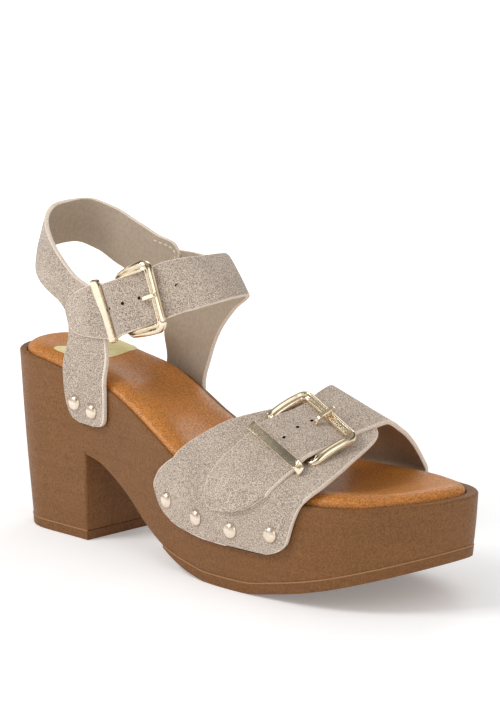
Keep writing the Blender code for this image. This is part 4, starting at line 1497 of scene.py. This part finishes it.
class SANDAL_OT_stage(bpy.types.Operator):
    """Pale floor, soft studio light and the camera"""

    bl_idname = "sandal.stage"
    bl_label = "Stage"

    # Place and size of each lamp, in metres, and the property that holds its power
    LAMPS = (
        ("key_light", (-0.7, -1.1, 1.25), 0.7, "key"),
        ("fill_light", (1.2, -0.5, 0.75), 0.8, "fill"),
        ("back_light", (-0.5, 1.1, 0.9), 0.6, "fill"),
    )
    LAMP_TARGET = (0, 0, 0.06)
    FLOOR_SIZE = 12
    # The floor's own light, which grows from the shoe outwards
    FLOOR_GLOW = {"From Min": 0.15, "From Max": 0.9, "To Min": 0.2, "To Max": 0.6}
    # Brightness of the room by the height that a reflection looks to: its two ends, and what lies between
    ROOM_ENDS = ((0.0, 0.26), (1.0, 0.5))
    ROOM = ((0.12, 0.3), (0.2, 0.95), (0.36, 1.0), (0.44, 0.15), (0.62, 0.1), (0.8, 0.3))
    ROOM_TINT = (1.0, 0.94, 0.85, 1)
    BACKDROP = 1.05

    def execute(self, context):
        stage = context.scene.sandal_stage
        deselect()
        bpy.ops.mesh.primitive_plane_add(size=self.FLOOR_SIZE)
        floor = context.object
        floor.name = "studio_floor"
        material, tree, shader, place = new_finish("pale_floor", 0.9, specular_ior_level=0.1)
        tone = flecked(tree, place, shade(stage.floor, 0.99), shade(stage.floor, 1.01), 30.0, 3.0, 0.2)
        tree.links.new(tone["Color"], shader["Base Color"])
        reach = node(tree, "VectorMath", {0: place}, operation="LENGTH").outputs["Value"]
        glow = node(tree, "MapRange", {"Value": reach, **self.FLOOR_GLOW}, interpolation_type="SMOOTHSTEP")
        tree.links.new(glow.outputs["Result"], shader["Emission Color"])
        shader["Emission Strength"].default_value = 1.0
        floor.data.materials.append(material)
        self.sky(context.scene, stage)
        for name, spot, breadth, power in self.LAMPS:
            self.lamp(name, spot, breadth, getattr(stage, power))
        self.camera(context.scene, stage)
        context.scene.view_settings.view_transform = "Standard"
        return {"FINISHED"}

    def sky(self, scene, stage):
        """Even light, a plain white backdrop for the camera, and a darker room in the metal's reflections."""
        world = bpy.data.worlds.new("studio")
        world.use_nodes = True
        tree = world.node_tree
        backdrop = tree.nodes["Background"]
        path = tree.nodes.new("ShaderNodeLightPath")
        way = tree.nodes.new("ShaderNodeTexCoord").outputs["Generated"]
        height = node(tree, "SeparateXYZ", {"Vector": way}).outputs["Z"]
        room = node(tree, "FloatCurve", {"Value": height})
        curve = room.mapping.curves[0]
        for point, place in zip(curve.points, self.ROOM_ENDS):
            point.location = place
        for place in self.ROOM:
            curve.points.new(*place)
        room.mapping.update()
        glossy, camera = path.outputs["Is Glossy Ray"], path.outputs["Is Camera Ray"]
        lit = node(tree, "Mix", {0: glossy, 2: stage.sky, 3: room.outputs["Value"]})
        seen = node(tree, "Mix", {0: camera, 2: lit.outputs[0], 3: self.BACKDROP})
        tint = node(tree, "Mix", {0: glossy, 6: (1, 1, 1, 1), 7: self.ROOM_TINT}, data_type="RGBA")
        tree.links.new(tint.outputs[2], backdrop.inputs["Color"])
        tree.links.new(seen.outputs[0], backdrop.inputs["Strength"])
        scene.world = world

    def lamp(self, name, place, breadth, power):
        target = Vector(self.LAMP_TARGET)
        light = bpy.data.lights.new(name, "AREA")
        light.energy, light.size = power, breadth
        made = bpy.data.objects.new(name, light)
        bpy.context.scene.collection.objects.link(made)
        made.location = place
        made.rotation_euler = (target - made.location).to_track_quat("-Z", "Y").to_euler()

    def camera(self, scene, stage):
        turn, rise = stage.azimuth, stage.elevation
        back = Vector((math.sin(turn) * math.cos(rise), -math.cos(turn) * math.cos(rise), math.sin(rise)))
        data = bpy.data.cameras.new("camera")
        data.lens, data.sensor_width, data.sensor_fit = stage.lens, 36.0, "AUTO"
        made = bpy.data.objects.new("camera", data)
        scene.collection.objects.link(made)
        made.location = Vector(stage.target) + back * stage.distance
        made.rotation_euler = (-back).to_track_quat("-Z", "Y").to_euler()
        scene.camera = made


class SANDAL_PT_panel(bpy.types.Panel):
    """Lists the sandal's pieces and their sizes and finishes"""

    bl_idname = "SANDAL_PT_panel"
    bl_label = "Clog Sandal"
    bl_space_type = "VIEW_3D"
    bl_region_type = "UI"
    bl_category = "Sandal"

    def draw(self, context):
        layout = self.layout
        for operator in PIECES:
            layout.operator(operator.bl_idname)
        for name in GROUPS:
            box = layout.box()
            group = getattr(context.scene, name)
            for key in group.bl_rna.properties.keys():
                if key not in ("rna_type", "name"):
                    box.prop(group, key)


PIECES = (
    SANDAL_OT_sole,
    SANDAL_OT_outsole,
    SANDAL_OT_footbed,
    SANDAL_OT_vamp,
    SANDAL_OT_ankle,
    SANDAL_OT_buckles,
    SANDAL_OT_keepers,
    SANDAL_OT_studs,
    SANDAL_OT_stitching,
    SANDAL_OT_stage,
)
GROUPS = {"sandal_sizes": SandalSizes, "sandal_finishes": SandalFinishes, "sandal_stage": SandalStage}


def register():
    for each in (*GROUPS.values(), *PIECES, SANDAL_PT_panel):
        bpy.utils.register_class(each)
    for name, group in GROUPS.items():
        setattr(bpy.types.Scene, name, PointerProperty(type=group))


def unregister():
    for name in GROUPS:
        delattr(bpy.types.Scene, name)
    for each in reversed((*GROUPS.values(), *PIECES, SANDAL_PT_panel)):
        bpy.utils.unregister_class(each)


def main():
    register()
    bpy.ops.sandal.sole()
    bpy.ops.sandal.outsole()
    bpy.ops.sandal.footbed()
    bpy.ops.sandal.vamp()
    bpy.ops.sandal.ankle()
    bpy.ops.sandal.buckles()
    bpy.ops.sandal.keepers()
    bpy.ops.sandal.studs()
    bpy.ops.sandal.stitching()
    bpy.ops.sandal.stage()


if __name__ == "__main__":
    main()
